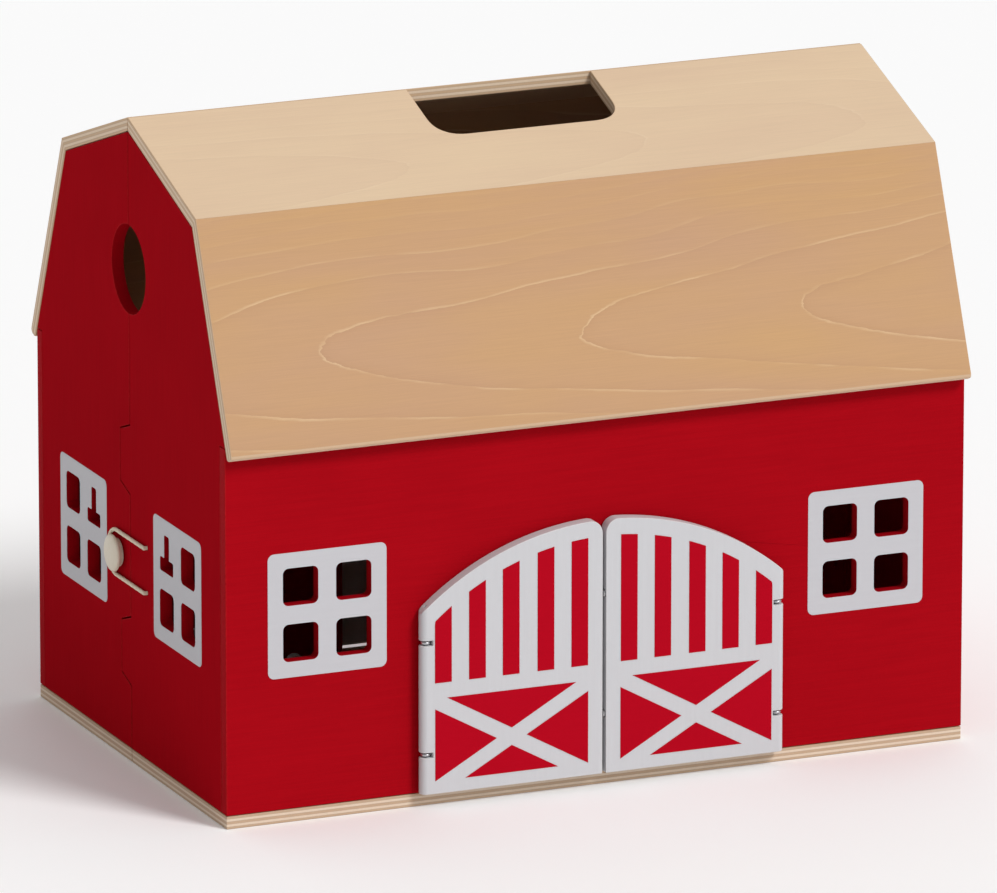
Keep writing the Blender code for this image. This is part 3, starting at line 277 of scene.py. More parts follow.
def roof_wood(board, up, edge, offset, colours, flip=AS_DRAWN, opens=1, **marks):
    """Plywood for a roof board in front that rises along up through edge, or for its mirror image."""
    inward = Vector((0, up.z, -up.y))
    roof_woods[board] = plywood("plywood_" + board, up * flip, inward * flip, inward.dot(edge),
                                up.dot(edge) + offset, colours, ROOF_LAYERS, opens, **marks)


roof_wood("lower_front", lower_up, roof_eave, 40, WARM, start=-0.04)
roof_wood("lower_rear", lower_up, roof_eave, 66, WARM, MIRRORED, -1, start=0.2)
roof_wood("upper_front", upper_up, roof_ridge, -62, PALE, opens=-1, start=0.6, marked=0.3)
roof_wood("upper_rear", upper_up, roof_ridge, -40, PALE, MIRRORED, start=0.1, marked=0.5)
plywood_base = plywood("plywood_base", ALONG_Y, ALONG_Z, 0, -40, WARM, BASE_LAYERS)
plywood_loft = plywood("plywood_loft", ALONG_Y, ALONG_Z, 167, 65, PALE, ROOF_LAYERS,
                       thickness=LOFT_THICKNESS)
solid_wood = plywood("solid_wood", ALONG_Z, ALONG_Y, NO_SAWN_EDGE, 160, WARM, ROOF_LAYERS)
print("plywood finishes made")

# %% [markdown]
# ## Paint
#
# The walls are stained red so thinly that the grain shows as faint darker streaks along the board.
# The doors and fences are a cleaner satin white, and the doors' print is a red with hardly any grain.
# On eased edges the red paint wears first, so its bevelled strips get a slightly paler, rougher finish.
# The white bevelled strips are painted paler than the board: a painted highlight, streaked with wear.

# %% Painted finishes
def stained(name, colour, deep, grain, roughness, strength, gloss=0.01):
    """Paint thin enough to show the grain, which runs along the given stretch of space."""
    finish = Finish(bpy.data.materials.new(name))
    point = finish.millimetres()
    streaks = finish.noise(point, grain, 5.0, 0.65)
    clouds = finish.noise(point, (0.02, 0.02, 0.02))
    share = finish.ramp(streaks * 0.75 + clouds * 0.25, [(0.35, 0.0), (0.68, 1.0)])
    finish.set(Base_Color=finish.mix(share * strength, shade(colour), shade(deep)),
               Roughness=roughness + 0.16 * streaks, Specular_IOR_Level=gloss,
               Normal=finish.grain(streaks, 0.5))
    return finish.owner


RED = (166, 9, 22)
RED_DEEP = (149, 6, 18)
WHITE = (199, 199, 202)
red_wall = stained("red_wall", RED, RED_DEEP, (0.03, 1.2, 1.2), 0.42, 0.7)
red_gable = stained("red_gable", RED, RED_DEEP, (1.2, 1.2, 0.03), 0.42, 0.7, 0.001)
red_edge = stained("red_edge", (178, 26, 32), (146, 8, 16), (0.6, 0.6, 0.6), 0.55, 0.9)
red_print = stained("red_print", (176, 9, 30), (168, 7, 26), (0.04, 1.0, 1.0), 0.4, 0.4)
white_board = stained("white_board", WHITE, (189, 189, 192), (0.8, 0.8, 0.04), 0.42, 0.3, 0.3)
white_print = stained("white_print", (193, 192, 196), (184, 183, 188), (0.04, 0.9, 0.9), 0.4, 0.3, 0.3)
# Paler than the white board: a painted highlight along the eased edges, streaked with wear.
white_edge_wear_and_highlight = stained("white_edge_wear_and_highlight", (210, 209, 211), (190, 187, 184), (0.7, 0.7, 0.7), 0.5, 0.7, 0.3)
cream_knob = stained("cream_knob", (226, 217, 198), (214, 200, 174), (0.3, 1.2, 0.4), 0.34, 0.5, 0.5)
elastic_yarn = stained("elastic_yarn", (232, 222, 200), (210, 194, 166), (3.5, 3.5, 3.5), 0.8, 0.6, 0.2)


def metal(name, colour, roughness):
    """Plated steel: bright, with a faint unevenness in its polish."""
    finish = Finish(bpy.data.materials.new(name))
    haze = finish.noise(finish.millimetres(), (0.9, 0.9, 0.9), 3.0)
    finish.set(Base_Color=finish.mix(haze, shade(colour), shade([c - 14 for c in colour])),
               Roughness=roughness + 0.14 * haze, Metallic=1.0)
    return finish.owner


zinc = metal("zinc", (206, 207, 210), 0.28)
nickel = metal("nickel", (226, 226, 228), 0.42)
print("painted and metal finishes made")

# %% [markdown]
# ## Easing the boards
#
# A sawn solid has knife-sharp edges, which catch no light and look like paper. A real board is sanded,
# so each solid board is copied, its doubled points are merged and its flat faces are joined. The low
# corners between the flats of a large curve are rounded, and every sharp edge gets a narrow round.
# The copy then stands for the solid.

# %% A board with eased edges
EASE_ANGLE = radians(35)
EASE_SEGMENTS = 2
SMOOTH_ANGLE = radians(38)
FLAT_ANGLE = radians(1)
CURVE_TURNS = (radians(1.5), radians(25))
CURVE_FLAT = 2.5 * MM
CURVE_REST = 0.005 * MM
CURVE_SEGMENTS = 3
WELD = 0.01 * MM
CURVE_WELD = 0.02 * MM


def only(piece):
    """Select one piece alone and make it the active one."""
    bpy.ops.object.select_all(action="DESELECT")
    piece.select_set(True)
    bpy.context.view_layer.objects.active = piece


def settled(piece):
    """Write a piece's place, turn and size into its points, so that the object stands at the origin."""
    only(piece)
    bpy.ops.object.transform_apply(location=True, rotation=True, scale=True)
    return piece


def edit(piece):
    """Open a piece's mesh for editing."""
    only(piece)
    bpy.ops.object.mode_set(mode="EDIT")


def leave_edit():
    bpy.ops.object.mode_set(mode="OBJECT")


def select_mesh():
    bpy.ops.mesh.select_all(action="SELECT")


def modified(piece, kind, **settings):
    """Put one modifier on a piece and apply it."""
    step = piece.modifiers.new(kind, kind)
    for name, value in settings.items():
        setattr(step, name, value)
    only(piece)
    bpy.ops.object.modifier_apply(modifier=step.name)


def dress(piece, body, slot, *finishes):
    """Give a finished piece its materials and the body that it rides on; its slot is passed in but not used.
    """
    settled(piece)
    piece.data.materials.clear()
    for finish in finishes:
        piece.data.materials.append(finish)
    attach(piece, body)


def stands_for(piece, node, *finishes):
    """Dress a piece as the solid whose place it takes."""
    record = frame["record"]
    body = next(body for body, nodes in record["behaviour"]["bodies"].items() if node in nodes)
    slot = next(part["material_slot"] for part in record["subparts"] if part["node"] == node)
    dress(piece, body, slot, *finishes)
    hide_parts(node)


def levelled(piece):
    """Let big flat faces decide how light falls on the eased edges beside them, so that they stay flat."""
    only(piece)
    bpy.ops.object.shade_smooth_by_angle(angle=SMOOTH_ANGLE)
    modified(piece, "WEIGHTED_NORMAL", keep_sharp=True)


def ease_edges(piece, width, stays_sharp=None, least=EASE_ANGLE):
    """Round every outer edge of a piece. Inner corners, where two boards meet, stay as they are."""
    reader = bmesh.new()
    reader.from_mesh(piece.data)
    weights = []
    for edge in reader.edges:
        middle = (edge.verts[0].co + edge.verts[1].co) / 2
        outer = edge.is_convex and edge.calc_face_angle(0) > least
        weights.append(1.0 if outer and not (stays_sharp and stays_sharp(middle)) else 0.0)
    reader.free()
    piece.data.attributes.new("bevel_weight_edge", "FLOAT", "EDGE").data.foreach_set("value", weights)
    modified(piece, "BEVEL", width=width, segments=EASE_SEGMENTS, limit_method="WEIGHT",
             use_clamp_overlap=False, material=1)
    levelled(piece)


def cleaned(piece, flat=None, weld=WELD):
    """Merge doubled points and, given an angle, join neighbouring faces that lie in one plane."""
    edit(piece)
    select_mesh()
    bpy.ops.mesh.remove_doubles(threshold=weld)
    if flat:
        bpy.ops.mesh.dissolve_limited(angle_limit=flat)
    leave_edit()


def bevelled(piece, chosen, offset, segments):
    """Bevel those edges of a piece whose numbers are chosen."""
    edit(piece)
    bpy.ops.mesh.select_mode(type="EDGE")
    bpy.ops.mesh.select_all(action="DESELECT")
    leave_edit()
    for edge in piece.data.edges:
        edge.select = edge.index in chosen
    edit(piece)
    bpy.ops.mesh.bevel(offset=offset, segments=segments, affect="EDGES")
    leave_edit()


def curves_rounded(piece):
    """Bevel the low corners between the flats of a large curve, so that it is smooth from near as well."""
    reader = bmesh.new()
    reader.from_mesh(piece.data)
    room = {}
    for edge in reader.edges:
        if edge.is_manifold and CURVE_TURNS[0] < edge.calc_face_angle(0) < CURVE_TURNS[1]:
            sides = [loop.link_loop_next.edge for loop in edge.link_loops]
            sides += [loop.link_loop_prev.edge for loop in edge.link_loops]
            shortest = min(side.calc_length() for side in sides)
            if shortest > CURVE_FLAT:
                room[edge.index] = shortest
    reader.free()
    if room:
        bevelled(piece, room, min(room.values()) / 2 - CURVE_REST, CURVE_SEGMENTS)
        cleaned(piece, weld=CURVE_WELD)
        print("curves of", piece.name, "rounded at", len(room), "corners")


def eased(node, name, width, face_finish, edge_finish=None, stays_sharp=None, least=EASE_ANGLE):
    """A softened copy of one solid, which takes the solid's place."""
    piece = added(name, frame["nodes"][node].data.copy())
    only(piece)
    bpy.ops.mesh.customdata_custom_splitnormals_clear()
    cleaned(piece, FLAT_ANGLE)
    curves_rounded(piece)
    stands_for(piece, node, face_finish, edge_finish or face_finish)
    ease_edges(piece, width, stays_sharp, least)
    return piece


print("tools for boards ready")

# %% [markdown]
# ## The shell
#
# Two bases, two long walls, four half gables and four roof boards make the two halves of the barn.
# The roof and bases are bare, the walls and gables are stained red. The upper roof board in front
# carries the hand slot, whose rim is rounded, because a hand lifts the barn by it.

# %% Shell boards
HALVES = ("front", "rear")
LEVELS = ("lower", "upper")
PAIR = (1, 2)
ROOF_EASE = 0.5 * MM
WALL_EASE = 0.4 * MM
LEAF_EASE_ANGLE = radians(70)
GLUE_TAKEN_UP = 0.12 * MM
MITRE = Vector((0, -3.5, -5))
MITRE_REACH = 3


def at_the_break(middle):
    """True on the mitre where a lower and an upper roof board are glued together."""
    here = Vector((0, abs(middle.y), middle.z)) / MM - roof_break * MIRRORED
    return min((here - MITRE * share).length for share in (0, 0.5, 1)) < MITRE_REACH


def closed_up(piece, direction):
    """Push a board's mitred end a little further, so that only a hair line of glue is left."""
    for point in piece.data.vertices:
        point.select = at_the_break(point.co)
    edit(piece)
    bpy.ops.transform.translate(value=direction * GLUE_TAKEN_UP)
    leave_edit()


for half, flip in (("front", AS_DRAWN), ("rear", MIRRORED)):
    for level, outward in (("lower", lower_up), ("upper", -upper_up)):
        board = eased(f"roof_{level}_{half}", f"{level}_roof_board_{half}", ROOF_EASE,
                      roof_woods[f"{level}_{half}"], stays_sharp=at_the_break)
        closed_up(board, outward * flip)
for half in HALVES:
    eased(f"base_{half}", f"base_board_{half}", ROOF_EASE, plywood_base)
    eased(f"wall_{half}", f"wall_board_{half}", WALL_EASE, red_wall, red_edge)
    for end in ("left", "right"):
        eased(f"gable_{end}_{half}", f"gable_board_{end}_{half}", WALL_EASE, red_gable, red_edge)
    eased(f"loft_{half}", f"loft_board_{half}", ROOF_EASE, plywood_loft)
    eased(f"loft_cleat_{half}", f"loft_ledge_{half}", WALL_EASE, solid_wood)
    for number in (1, 2, 3):
        eased(f"fence_{half}_{number}", f"fence_panel_{half}_{number}", WALL_EASE, white_board, white_edge_wear_and_highlight)
for level in LEVELS:
    eased(f"stable_{level}_leaf", f"stable_{level}_board", WALL_EASE, white_board, white_edge_wear_and_highlight,
          least=LEAF_EASE_ANGLE)
print("boards eased")

# %% [markdown]
# ## Printed windows
#
# Each window is four sawn panes with a flat white square printed round them. The print is modelled as
# a film a tenth of a millimetre thick: a plane as large as the square, its corners bevelled, given its
# thickness, and cut through with rounded blocks where the panes are.

# %% Window film
SIDES = ((-1, "left"), (1, "right"))
FILM = 0.12 * MM
FILM_GAP = 0.03 * MM
# Sizes are width, height and the radius of the corners.
SURROUND = (57 * MM, 57.5 * MM, 3 * MM)
PANE = (17 * MM, 17.3 * MM, 2.7 * MM)
PANE_STEPS = (12.75 * MM, 12.9 * MM)
KEYHOLE_FOOT = (16 * MM, 6.5 * MM, 1.2 * MM)
KEYHOLE_STEM = (6 * MM, 17.3 * MM, 1.2 * MM)
WINDOW_HEIGHT = 95.75 * MM
WINDOW_X_FRONT = 131.375 * MM
WINDOW_X_REAR = 111.75 * MM
WINDOW_Y_GABLE = 57 * MM


def face_outward():
    """Turn all faces of the mesh being edited outward, and leave edit mode."""
    select_mesh()
    bpy.ops.mesh.normals_make_consistent(inside=False)
    leave_edit()


def thicken(thickness):
    """Give the flat mesh being edited a thickness along Z, and leave edit mode."""
    select_mesh()
    bpy.ops.mesh.extrude_region_move(TRANSFORM_OT_translate={"value": (0, 0, thickness)})
    face_outward()


def started(name, add, **sizes):
    """Start a piece from one of the simple shapes."""
    bpy.ops.object.select_all(action="DESELECT")
    add(**sizes)
    bpy.context.object.name = name
    return bpy.context.object


def rounded_plate(name, width, height, radius, thickness, steps=6):
    """A plate that lies in X and Y round the origin, its four corners rounded."""
    plate = started(name, bpy.ops.mesh.primitive_plane_add, size=1)
    plate.scale = (width, height, 1)
    edit(settled(plate))
    if radius:
        bpy.ops.mesh.bevel(offset=radius, segments=steps, affect="VERTICES")
    thicken(thickness)
    return plate


def carve(piece, tools, operation="DIFFERENCE"):
    """Cut, join or trim a piece with tools, and throw the tools away."""
    for tool in tools:
        modified(piece, "BOOLEAN", operation=operation, solver="EXACT", object=tool)
        bpy.data.objects.remove(tool)
    return piece


def shifted(piece, offset):
    piece.location = offset
    return settled(piece)


def stand(piece, turn_z, place):
    """Stand a flat piece up, turn it to face its wall's outside, and put it in place."""
    piece.rotation_euler = (radians(90), 0, radians(turn_z))
    return shifted(piece, place)


def print_window(name, body, turn, x, y, keyhole=0):
    """Print the white square of one window; keyhole marks the side with the odd pane."""
    film = rounded_plate(name, *SURROUND, FILM)
    cutters = []
    for side in (-1, 1):
        for level in (-1, 1):
            pane_x, pane_y = side * PANE_STEPS[0], level * PANE_STEPS[1]
            openings = [(PANE, pane_y)]
            if side == keyhole and level == 1:
                foot_y = pane_y - PANE[1] / 2 + KEYHOLE_FOOT[1] / 2
                openings = [(KEYHOLE_FOOT, foot_y), (KEYHOLE_STEM, pane_y)]
            for size, middle in openings:
                pane = rounded_plate("pane", *size, 3 * FILM)
                cutters.append(shifted(pane, (pane_x, middle, -FILM)))
    stand(carve(film, cutters), turn, (x, y, WINDOW_HEIGHT))
    dress(film, body, "white_paint", white_print)


front_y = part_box("wall_front")[0].y - FILM_GAP
rear_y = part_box("wall_rear")[1].y + FILM_GAP
gable_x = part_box("gable_left_front")[0].x - FILM_GAP
for side, word in SIDES:
    print_window(f"window_front_{word}", "front_half", 0, side * WINDOW_X_FRONT, front_y)
    print_window(f"window_rear_{word}", "rear_half", 180, side * WINDOW_X_REAR, rear_y)
for side, half in ((-1, "front"), (1, "rear")):
    print_window(f"window_gable_{half}", half + "_half", -90, gable_x, side * WINDOW_Y_GABLE, side)
print("windows printed")

# %% [markdown]
# ## Door leaves
#
# Each of the double doors is one board with half of a wide arch on top, two rounded upper corners and
# a half-round hinge edge. Its outline is drawn point by point and extruded. A second block, rounded
# along one side, trims the hinge edge. Then notches for the screw eyes and seats for the magnets are
# cut, the edges are eased, and the pin's bore comes last.

# %% Door leaves
LEAF_THICKNESS = 6 * MM
LEAF_MEETING = 0.9 * MM
LEAF_OUTER = 88.75 * MM
LEAF_FOOT = 6.8 * MM
LEAF_ARCH = 133 * MM
ARCH_MIDDLE = -7.9 * MM
LEAF_CORNER = 6 * MM
OUTER_STEPS, ARCH_STEPS, INNER_STEPS = 10, 48, 14
LEAF_FLAT_ANGLE = radians(0.2)
STOCK_PAST_MEETING = 5 * MM
STOCK_HEIGHT = 140 * MM
PIN_BORE = 0.9 * MM
PIN_BORE_TOP = 98.93 * MM
PIN_BORE_SIDES = 24
NOTCH_DEPTH = 2.6 * MM
NOTCH_HEIGHT = 2.4 * MM
MAGNET_SEAT = 1.9 * MM
MAGNET_SEAT_DEPTH = 1.6 * MM


def middle_of(node):
    """The middle of a solid's box."""
    return [(low + high) / 2 for low, high in zip(*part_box(node))]


def drawn_line(name, points):
    """Draw a line from one vertex through all the points. Its mesh stays in edit mode."""
    piece = started(name, bpy.ops.mesh.primitive_plane_add, size=MM)
    edit(piece)
    bpy.ops.mesh.select_mode(type="VERT")
    select_mesh()
    bpy.ops.mesh.merge(type="CENTER")
    bpy.ops.transform.translate(value=points[0])
    for before, after in zip(points, points[1:]):
        step = [there - here for here, there in zip(before, after)]
        bpy.ops.mesh.extrude_region_move(TRANSFORM_OT_translate={"value": step})
    select_mesh()
    return piece


def drawn_plate(name, outline, thickness):
    """Draw an outline in X and Y, fill it and give it a thickness along Z."""
    plate = drawn_line(name, [(x, y, 0) for x, y in outline])
    bpy.ops.mesh.edge_face_add()
    thicken(thickness)
    return plate


def arc_points(middle, radius, start, stop, steps):
    """Points on an arc, from one angle in degrees to another."""
    angles = [radians(start + (stop - start) * step / steps) for step in range(steps + 1)]
    return [(middle[0] + radius * cos(a), middle[1] + radius * sin(a)) for a in angles]


def leaf_outline(side):
    """Straight below, arched above; the corners are arcs that touch both the arch and a side."""
    reach = LEAF_ARCH - LEAF_CORNER
    corners = []
    for x in (LEAF_OUTER - LEAF_CORNER, LEAF_MEETING + LEAF_CORNER):
        rise = sqrt(reach ** 2 - x ** 2)
        corners.append(((x, ARCH_MIDDLE + rise), degrees(atan2(rise, x))))
    (outer, outer_angle), (inner, inner_angle) = corners
    points = [(LEAF_MEETING, LEAF_FOOT), (LEAF_OUTER, LEAF_FOOT)]
    points += arc_points(outer, LEAF_CORNER, 0, outer_angle, OUTER_STEPS)
    points += arc_points((0, ARCH_MIDDLE), LEAF_ARCH, outer_angle, inner_angle, ARCH_STEPS)[1:-1]
    points += arc_points(inner, LEAF_CORNER, inner_angle, 180, INNER_STEPS)
    return [(side * x, z) for x, z in points]


def facing(x=0.0, y=0.0, z=1.0):
    """The turn that takes Z to the given direction."""
    return Vector((x, y, z)).to_track_quat("Z", "Y").to_matrix().to_4x4()


def rod(name, radius, low, high, sides=32):
    """A plain rod between two points, as a cutter."""
    low, high = Vector(low), Vector(high)
    made = started(name, bpy.ops.mesh.primitive_cylinder_add, vertices=sides, radius=radius,
                   depth=(high - low).length)
    made.matrix_world = facing(*(high - low).normalized())
    return shifted(made, (low + high) / 2)


def block(name, middle, size):
    """A plain block, as a cutter."""
    made = started(name, bpy.ops.mesh.primitive_cube_add, size=1, location=middle)
    made.scale = size
    return settled(made)


half_thick = LEAF_THICKNESS / 2
for side, word in SIDES:
    node = f"door_{word}_leaf"
    middle_y = middle_of(node)[1]
    pin_x = side * (LEAF_OUTER - half_thick)
    leaf = drawn_plate(f"door_board_{word}", leaf_outline(side), LEAF_THICKNESS)
    stand(leaf, 0, (0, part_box(node)[1].y, 0))
    plan = [(-STOCK_PAST_MEETING, middle_y - half_thick)]
    plan += arc_points((LEAF_OUTER - half_thick, middle_y), half_thick, -90, 90, 18)
    plan += [(-STOCK_PAST_MEETING, middle_y + half_thick)]
    carve(leaf, [drawn_plate("stock", [(side * x, y) for x, y in plan], STOCK_HEIGHT)], "INTERSECT")
    tools = []
    for number in PAIR:
        height = middle_of(f"door_left_eye_{number}")[2]
        notch_x = pin_x + side * (LEAF_THICKNESS - NOTCH_DEPTH / 2)
        notch = (2 * LEAF_THICKNESS + NOTCH_DEPTH, 2 * LEAF_THICKNESS, NOTCH_HEIGHT)
        tools.append(block("notch", (notch_x, middle_y, height), notch))
    for number in PAIR:
        height = middle_of(f"door_left_magnet_{number}")[2]
        start = side * (LEAF_MEETING - MM)
        seat = side * (LEAF_MEETING + MAGNET_SEAT_DEPTH)
        tools.append(rod("seat", MAGNET_SEAT, (start, middle_y, height), (seat, middle_y, height)))
    carve(leaf, tools)
    cleaned(leaf, LEAF_FLAT_ANGLE)
    stands_for(leaf, node, white_board, white_edge_wear_and_highlight)
    ease_edges(leaf, WALL_EASE, least=LEAF_EASE_ANGLE)
    pin_foot, pin_top = (pin_x, middle_y, 0), (pin_x, middle_y, PIN_BORE_TOP)
    carve(leaf, [rod("bore", PIN_BORE, pin_foot, pin_top, PIN_BORE_SIDES)])
    levelled(leaf)
print("door leaves drawn and cut")

# %% [markdown]
# ## Printed doors
#
# The double doors are white boards. Red is printed on them so that what stays white looks like a frame,
# with upright bars above and a cross brace below. The red is therefore what gets modelled: five bars
# trimmed by the arch, and a field under the middle rail that the brace cuts into triangles.

# %% Door film
BARS_ARCH = 125.5 * MM
BARS_ARCH_SIDES = 256
BARS_FOOT = 58.3 * MM
BARS_REACH = 130 * MM
BAR_LEFTS = [left * MM for left in (8.0, 24.5, 41.4, 57.75, 74.25)]
BAR_WIDTH = 8.1 * MM
BAR_CORNER = 2.2 * MM
CORNER_ABOVE = BARS_FOOT + 10 * MM
CORNER_NEAR = 0.1 * MM
FIELD_TOP = 51.1 * MM
FIELD_FOOT = 12.8 * MM
FIELD_INNER = 7.9 * MM
FIELD_OUTER = 82.25 * MM
BRACE_WIDTH = 7.1 * MM
BRACE_LENGTH = 120 * MM
BRACE_SLOPE = 0.56
BRACE_HEIGHT = 29.5 * MM


def bar(x, width, foot, top):
    """A thin upright plate round x, kept flat in X and Y for now."""
    return shifted(rounded_plate("bar", width, top - foot, 0, FILM), (x, (foot + top) / 2, 0))


def joined(pieces, name):
    """Several islands as one object."""
    only(pieces[0])
    for piece in pieces:
        piece.select_set(True)
    bpy.ops.object.join()
    pieces[0].name = name
    return pieces[0]


def round_corner(film, x):
    """Round the one upper corner of a flat film that is near x."""
    chosen = set()
    for edge in film.data.edges:
        first, second = [film.data.vertices[index].co for index in edge.vertices]
        through = abs(first.x - second.x) + abs(first.y - second.y) < WELD
        if through and abs(first.x - x) < CORNER_NEAR and first.y > CORNER_ABOVE:
            chosen.add(edge.index)
    bevelled(film, chosen, BAR_CORNER, 6)


def braced_field(x, width, foot, top, brace_height, slope):
    """A red field with a cross brace left white, whose strokes meet at x and the brace's height."""
    field = bar(x, width, foot, top)
    strokes = []
    for angle in (atan(slope), -atan(slope)):
        stroke = rounded_plate("brace", BRACE_LENGTH, BRACE_WIDTH, 0, 3 * FILM)
        stroke.rotation_euler.z = angle
        strokes.append(shifted(stroke, (x, brace_height, -FILM)))
    return carve(field, strokes)


def door_film(name, side):
    """The red print of one leaf, flat in X and Y."""
    bars = [bar(side * (left + BAR_WIDTH / 2), BAR_WIDTH, BARS_FOOT, BARS_REACH) for left in BAR_LEFTS]
    arch = started("arch", bpy.ops.mesh.primitive_cylinder_add, vertices=BARS_ARCH_SIDES,
                   radius=BARS_ARCH, depth=6 * FILM, location=(0, ARCH_MIDDLE, 0))
    bars = carve(joined(bars, "bars"), [arch], "INTERSECT")
    round_corner(bars, side * (BAR_LEFTS[-1] + BAR_WIDTH))
    field = braced_field(side * (FIELD_INNER + FIELD_OUTER) / 2, FIELD_OUTER - FIELD_INNER,
                         FIELD_FOOT, FIELD_TOP, BRACE_HEIGHT, BRACE_SLOPE)
    return joined([bars, field], name)


leaf_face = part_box("door_left_leaf")[0].y
for side, word in SIDES:
    film = stand(door_film(f"door_print_{word}", side), 0, (0, leaf_face - FILM_GAP, 0))
    dress(film, f"door_{word}", "red_paint", red_print)
print("doors printed")

# %% [markdown]
# ## Printed stable door
#
# The stable door at the back opens in two halves. Its lower leaf carries one cross brace, its upper
# leaf upright bars, in the same white frame as in front. Both prints are the same from either side.

# %% Stable film
STABLE_FRAME = 8.5 * MM
STABLE_BARS = 5
STABLE_BAR_WIDTH = 7.5 * MM

for level in LEVELS:
    leaf_low, leaf_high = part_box(f"stable_{level}_leaf")
    foot, top = leaf_low.z + STABLE_FRAME, leaf_high.z - STABLE_FRAME
    width = leaf_high.x - leaf_low.x - 2 * STABLE_FRAME
    if level == "lower":
        film = braced_field(0, width, foot, top, (foot + top) / 2, (top - foot) / width)
    else:
        step = (width - STABLE_BAR_WIDTH) / (STABLE_BARS - 1)
        middles = [(number - (STABLE_BARS - 1) / 2) * step for number in range(STABLE_BARS)]
        film = joined([bar(x, STABLE_BAR_WIDTH, foot, top) for x in middles], "bars")
    film.name = f"stable_print_{level}"
    stand(film, 180, (0, leaf_high.y + FILM_GAP, 0))
    dress(film, f"stable_{level}", "red_paint", red_print)
print("stable door printed")

# %% [markdown]
# ## Turned fittings
#
# Screws, pins, magnets and the knob are all round about one axis, so each starts as a profile of a few
# points that is spun about Z, as on a lathe, and is put in the place of its solid. Hinge screws and
# screw eyes are made once and copied. Every copy has its own mesh.

# %% The lathe
SPIN_STEPS = 40
LATHE_WELD = 0.002 * MM
SHANK_RADIUS = 0.72
CREST_RADIUS = 0.94
THREAD_PITCH = 0.8


def turned(name, profile, steps=SPIN_STEPS):
    """Spin a profile of radius and height, in millimetres, about Z."""
    piece = drawn_line(name, [(radius * MM, 0, height * MM) for radius, height in profile])
    bpy.ops.mesh.spin(steps=steps, angle=tau, center=(0, 0, 0), axis=(0, 0, 1))
    select_mesh()
    bpy.ops.mesh.remove_doubles(threshold=LATHE_WELD)
    face_outward()
    return piece


def dome(radius, foot, rise, step, stop=91, power=1.0):
    """The profile of a dome, from its top down to its rim."""
    angles = [radians(angle) for angle in range(0, stop, step)]
    return [(radius * sin(a), foot + rise * cos(a) ** power) for a in angles]


def threaded(start, length, radius=SHANK_RADIUS, crest=CREST_RADIUS):
    """The part of a profile with a thread, down from start to a blunt point."""
    points = []
    height = start
    while height > start - length + 2 * THREAD_PITCH:
        points += [(radius, height), (crest, height - 0.35 * THREAD_PITCH),
                   (radius, height - 0.7 * THREAD_PITCH)]
        height -= THREAD_PITCH
    return points + [(radius, height), (0, start - length)]


def placed(piece, name, node, finish, turn=facing(), seat=None):
    """Put a fitting in the place of one solid, with its origin on the seat or in the solid's middle."""
    piece.name = name
    piece.matrix_world = Matrix.Translation(seat or middle_of(node)) @ turn
    stands_for(piece, node, finish)
    levelled(piece)


def copied(piece, name, *where):
    """Put a copy of a fitting, with its own mesh, in the place of one solid."""
    placed(added(name, piece.data.copy()), name, *where)


print("lathe ready")

# %% [markdown]
# ## Screws
#
# A round-headed wood screw: a low dome, a thin flat rim, a plain neck and a thread. Its cross recess is
# cut with two thin blocks. The heads show on the hinges, each turned as it happened to be driven home.
# One more, behind the knob, shows only in the open barn.

# %% Screws
HEAD_RADIUS = 2.2
HEAD_THICKNESS = 0.8
HEAD_RIM = 0.08
NECK_RADIUS = SHANK_RADIUS + 0.1
NECK_END = -0.7
THREAD_START = -0.9
RECESS_ARMS = ((2.3, 0.5), (0.5, 2.3))
RECESS_FOOT = 0.36
RECESS_DEPTH = 1.0
RECESS_ROUND = 0.1
ROLL_BY_HEIGHT = 42.0
HINGE_SCREW = 6.5
KNOB_SCREW = 9.6


def round_screw(length):
    """A screw along Z, the underside of its head at the origin."""
    profile = dome(HEAD_RADIUS, 0.25 * HEAD_THICKNESS, 0.75 * HEAD_THICKNESS, 10)
    profile += [(HEAD_RADIUS, HEAD_RIM), (HEAD_RADIUS - HEAD_RIM, 0), (NECK_RADIUS, 0),
                (NECK_RADIUS, NECK_END)]
    screw = turned("screw", profile + threaded(THREAD_START, length + THREAD_START))
    arms = [rounded_plate("recess", wide * MM, tall * MM, RECESS_ROUND * MM, RECESS_DEPTH * MM, 2)
            for wide, tall in RECESS_ARMS]
    return carve(screw, [shifted(arm, (0, 0, RECESS_FOOT * MM)) for arm in arms])


def head_seat(node):
    """Where the underside of a screw's head is that looks along X."""
    return Vector((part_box(node)[1].x - HEAD_THICKNESS * MM, *middle_of(node)[1:]))


hinge_screw = round_screw(HINGE_SCREW)
for level in LEVELS:
    for half in HALVES:
        for number in PAIR:
            node = f"hinge_{level}_{half}_screw_{number}"
            seat = head_seat(node)
            roll = Matrix.Rotation(ROLL_BY_HEIGHT * seat.z / MM, 4, "Z")
            copied(hinge_screw, f"screw_{level}_{half}_{number}", node, zinc, facing(x=1, z=0) @ roll, seat)
bpy.data.objects.remove(hinge_screw)
node = "closure_knob_screw"
placed(round_screw(KNOB_SCREW), "screw_of_knob", node, zinc, facing(x=1, z=0), head_seat(node))
print("screws cut")

# %% [markdown]
# ## Pins and magnets
#
# A door leaf turns on a cut length of wire, slightly rounded at both ends. The hinge pins have a low
# domed head at each end. The magnets are small discs let into the meeting edges of the leaves.

# %% Pins and magnets
DOORS = ("door_left", "door_right", "stable_lower", "stable_upper")
WIRE_ROUND = 0.15
MAGNET_ROUND = 0.25
HINGE_PIN_RADIUS = 0.9
HINGE_PIN_CAP = 0.6


def half_size(node):
    """Half the width, depth and height of a solid's box, in millimetres."""
    return [(high - low) / 2 / MM for low, high in zip(*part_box(node))]


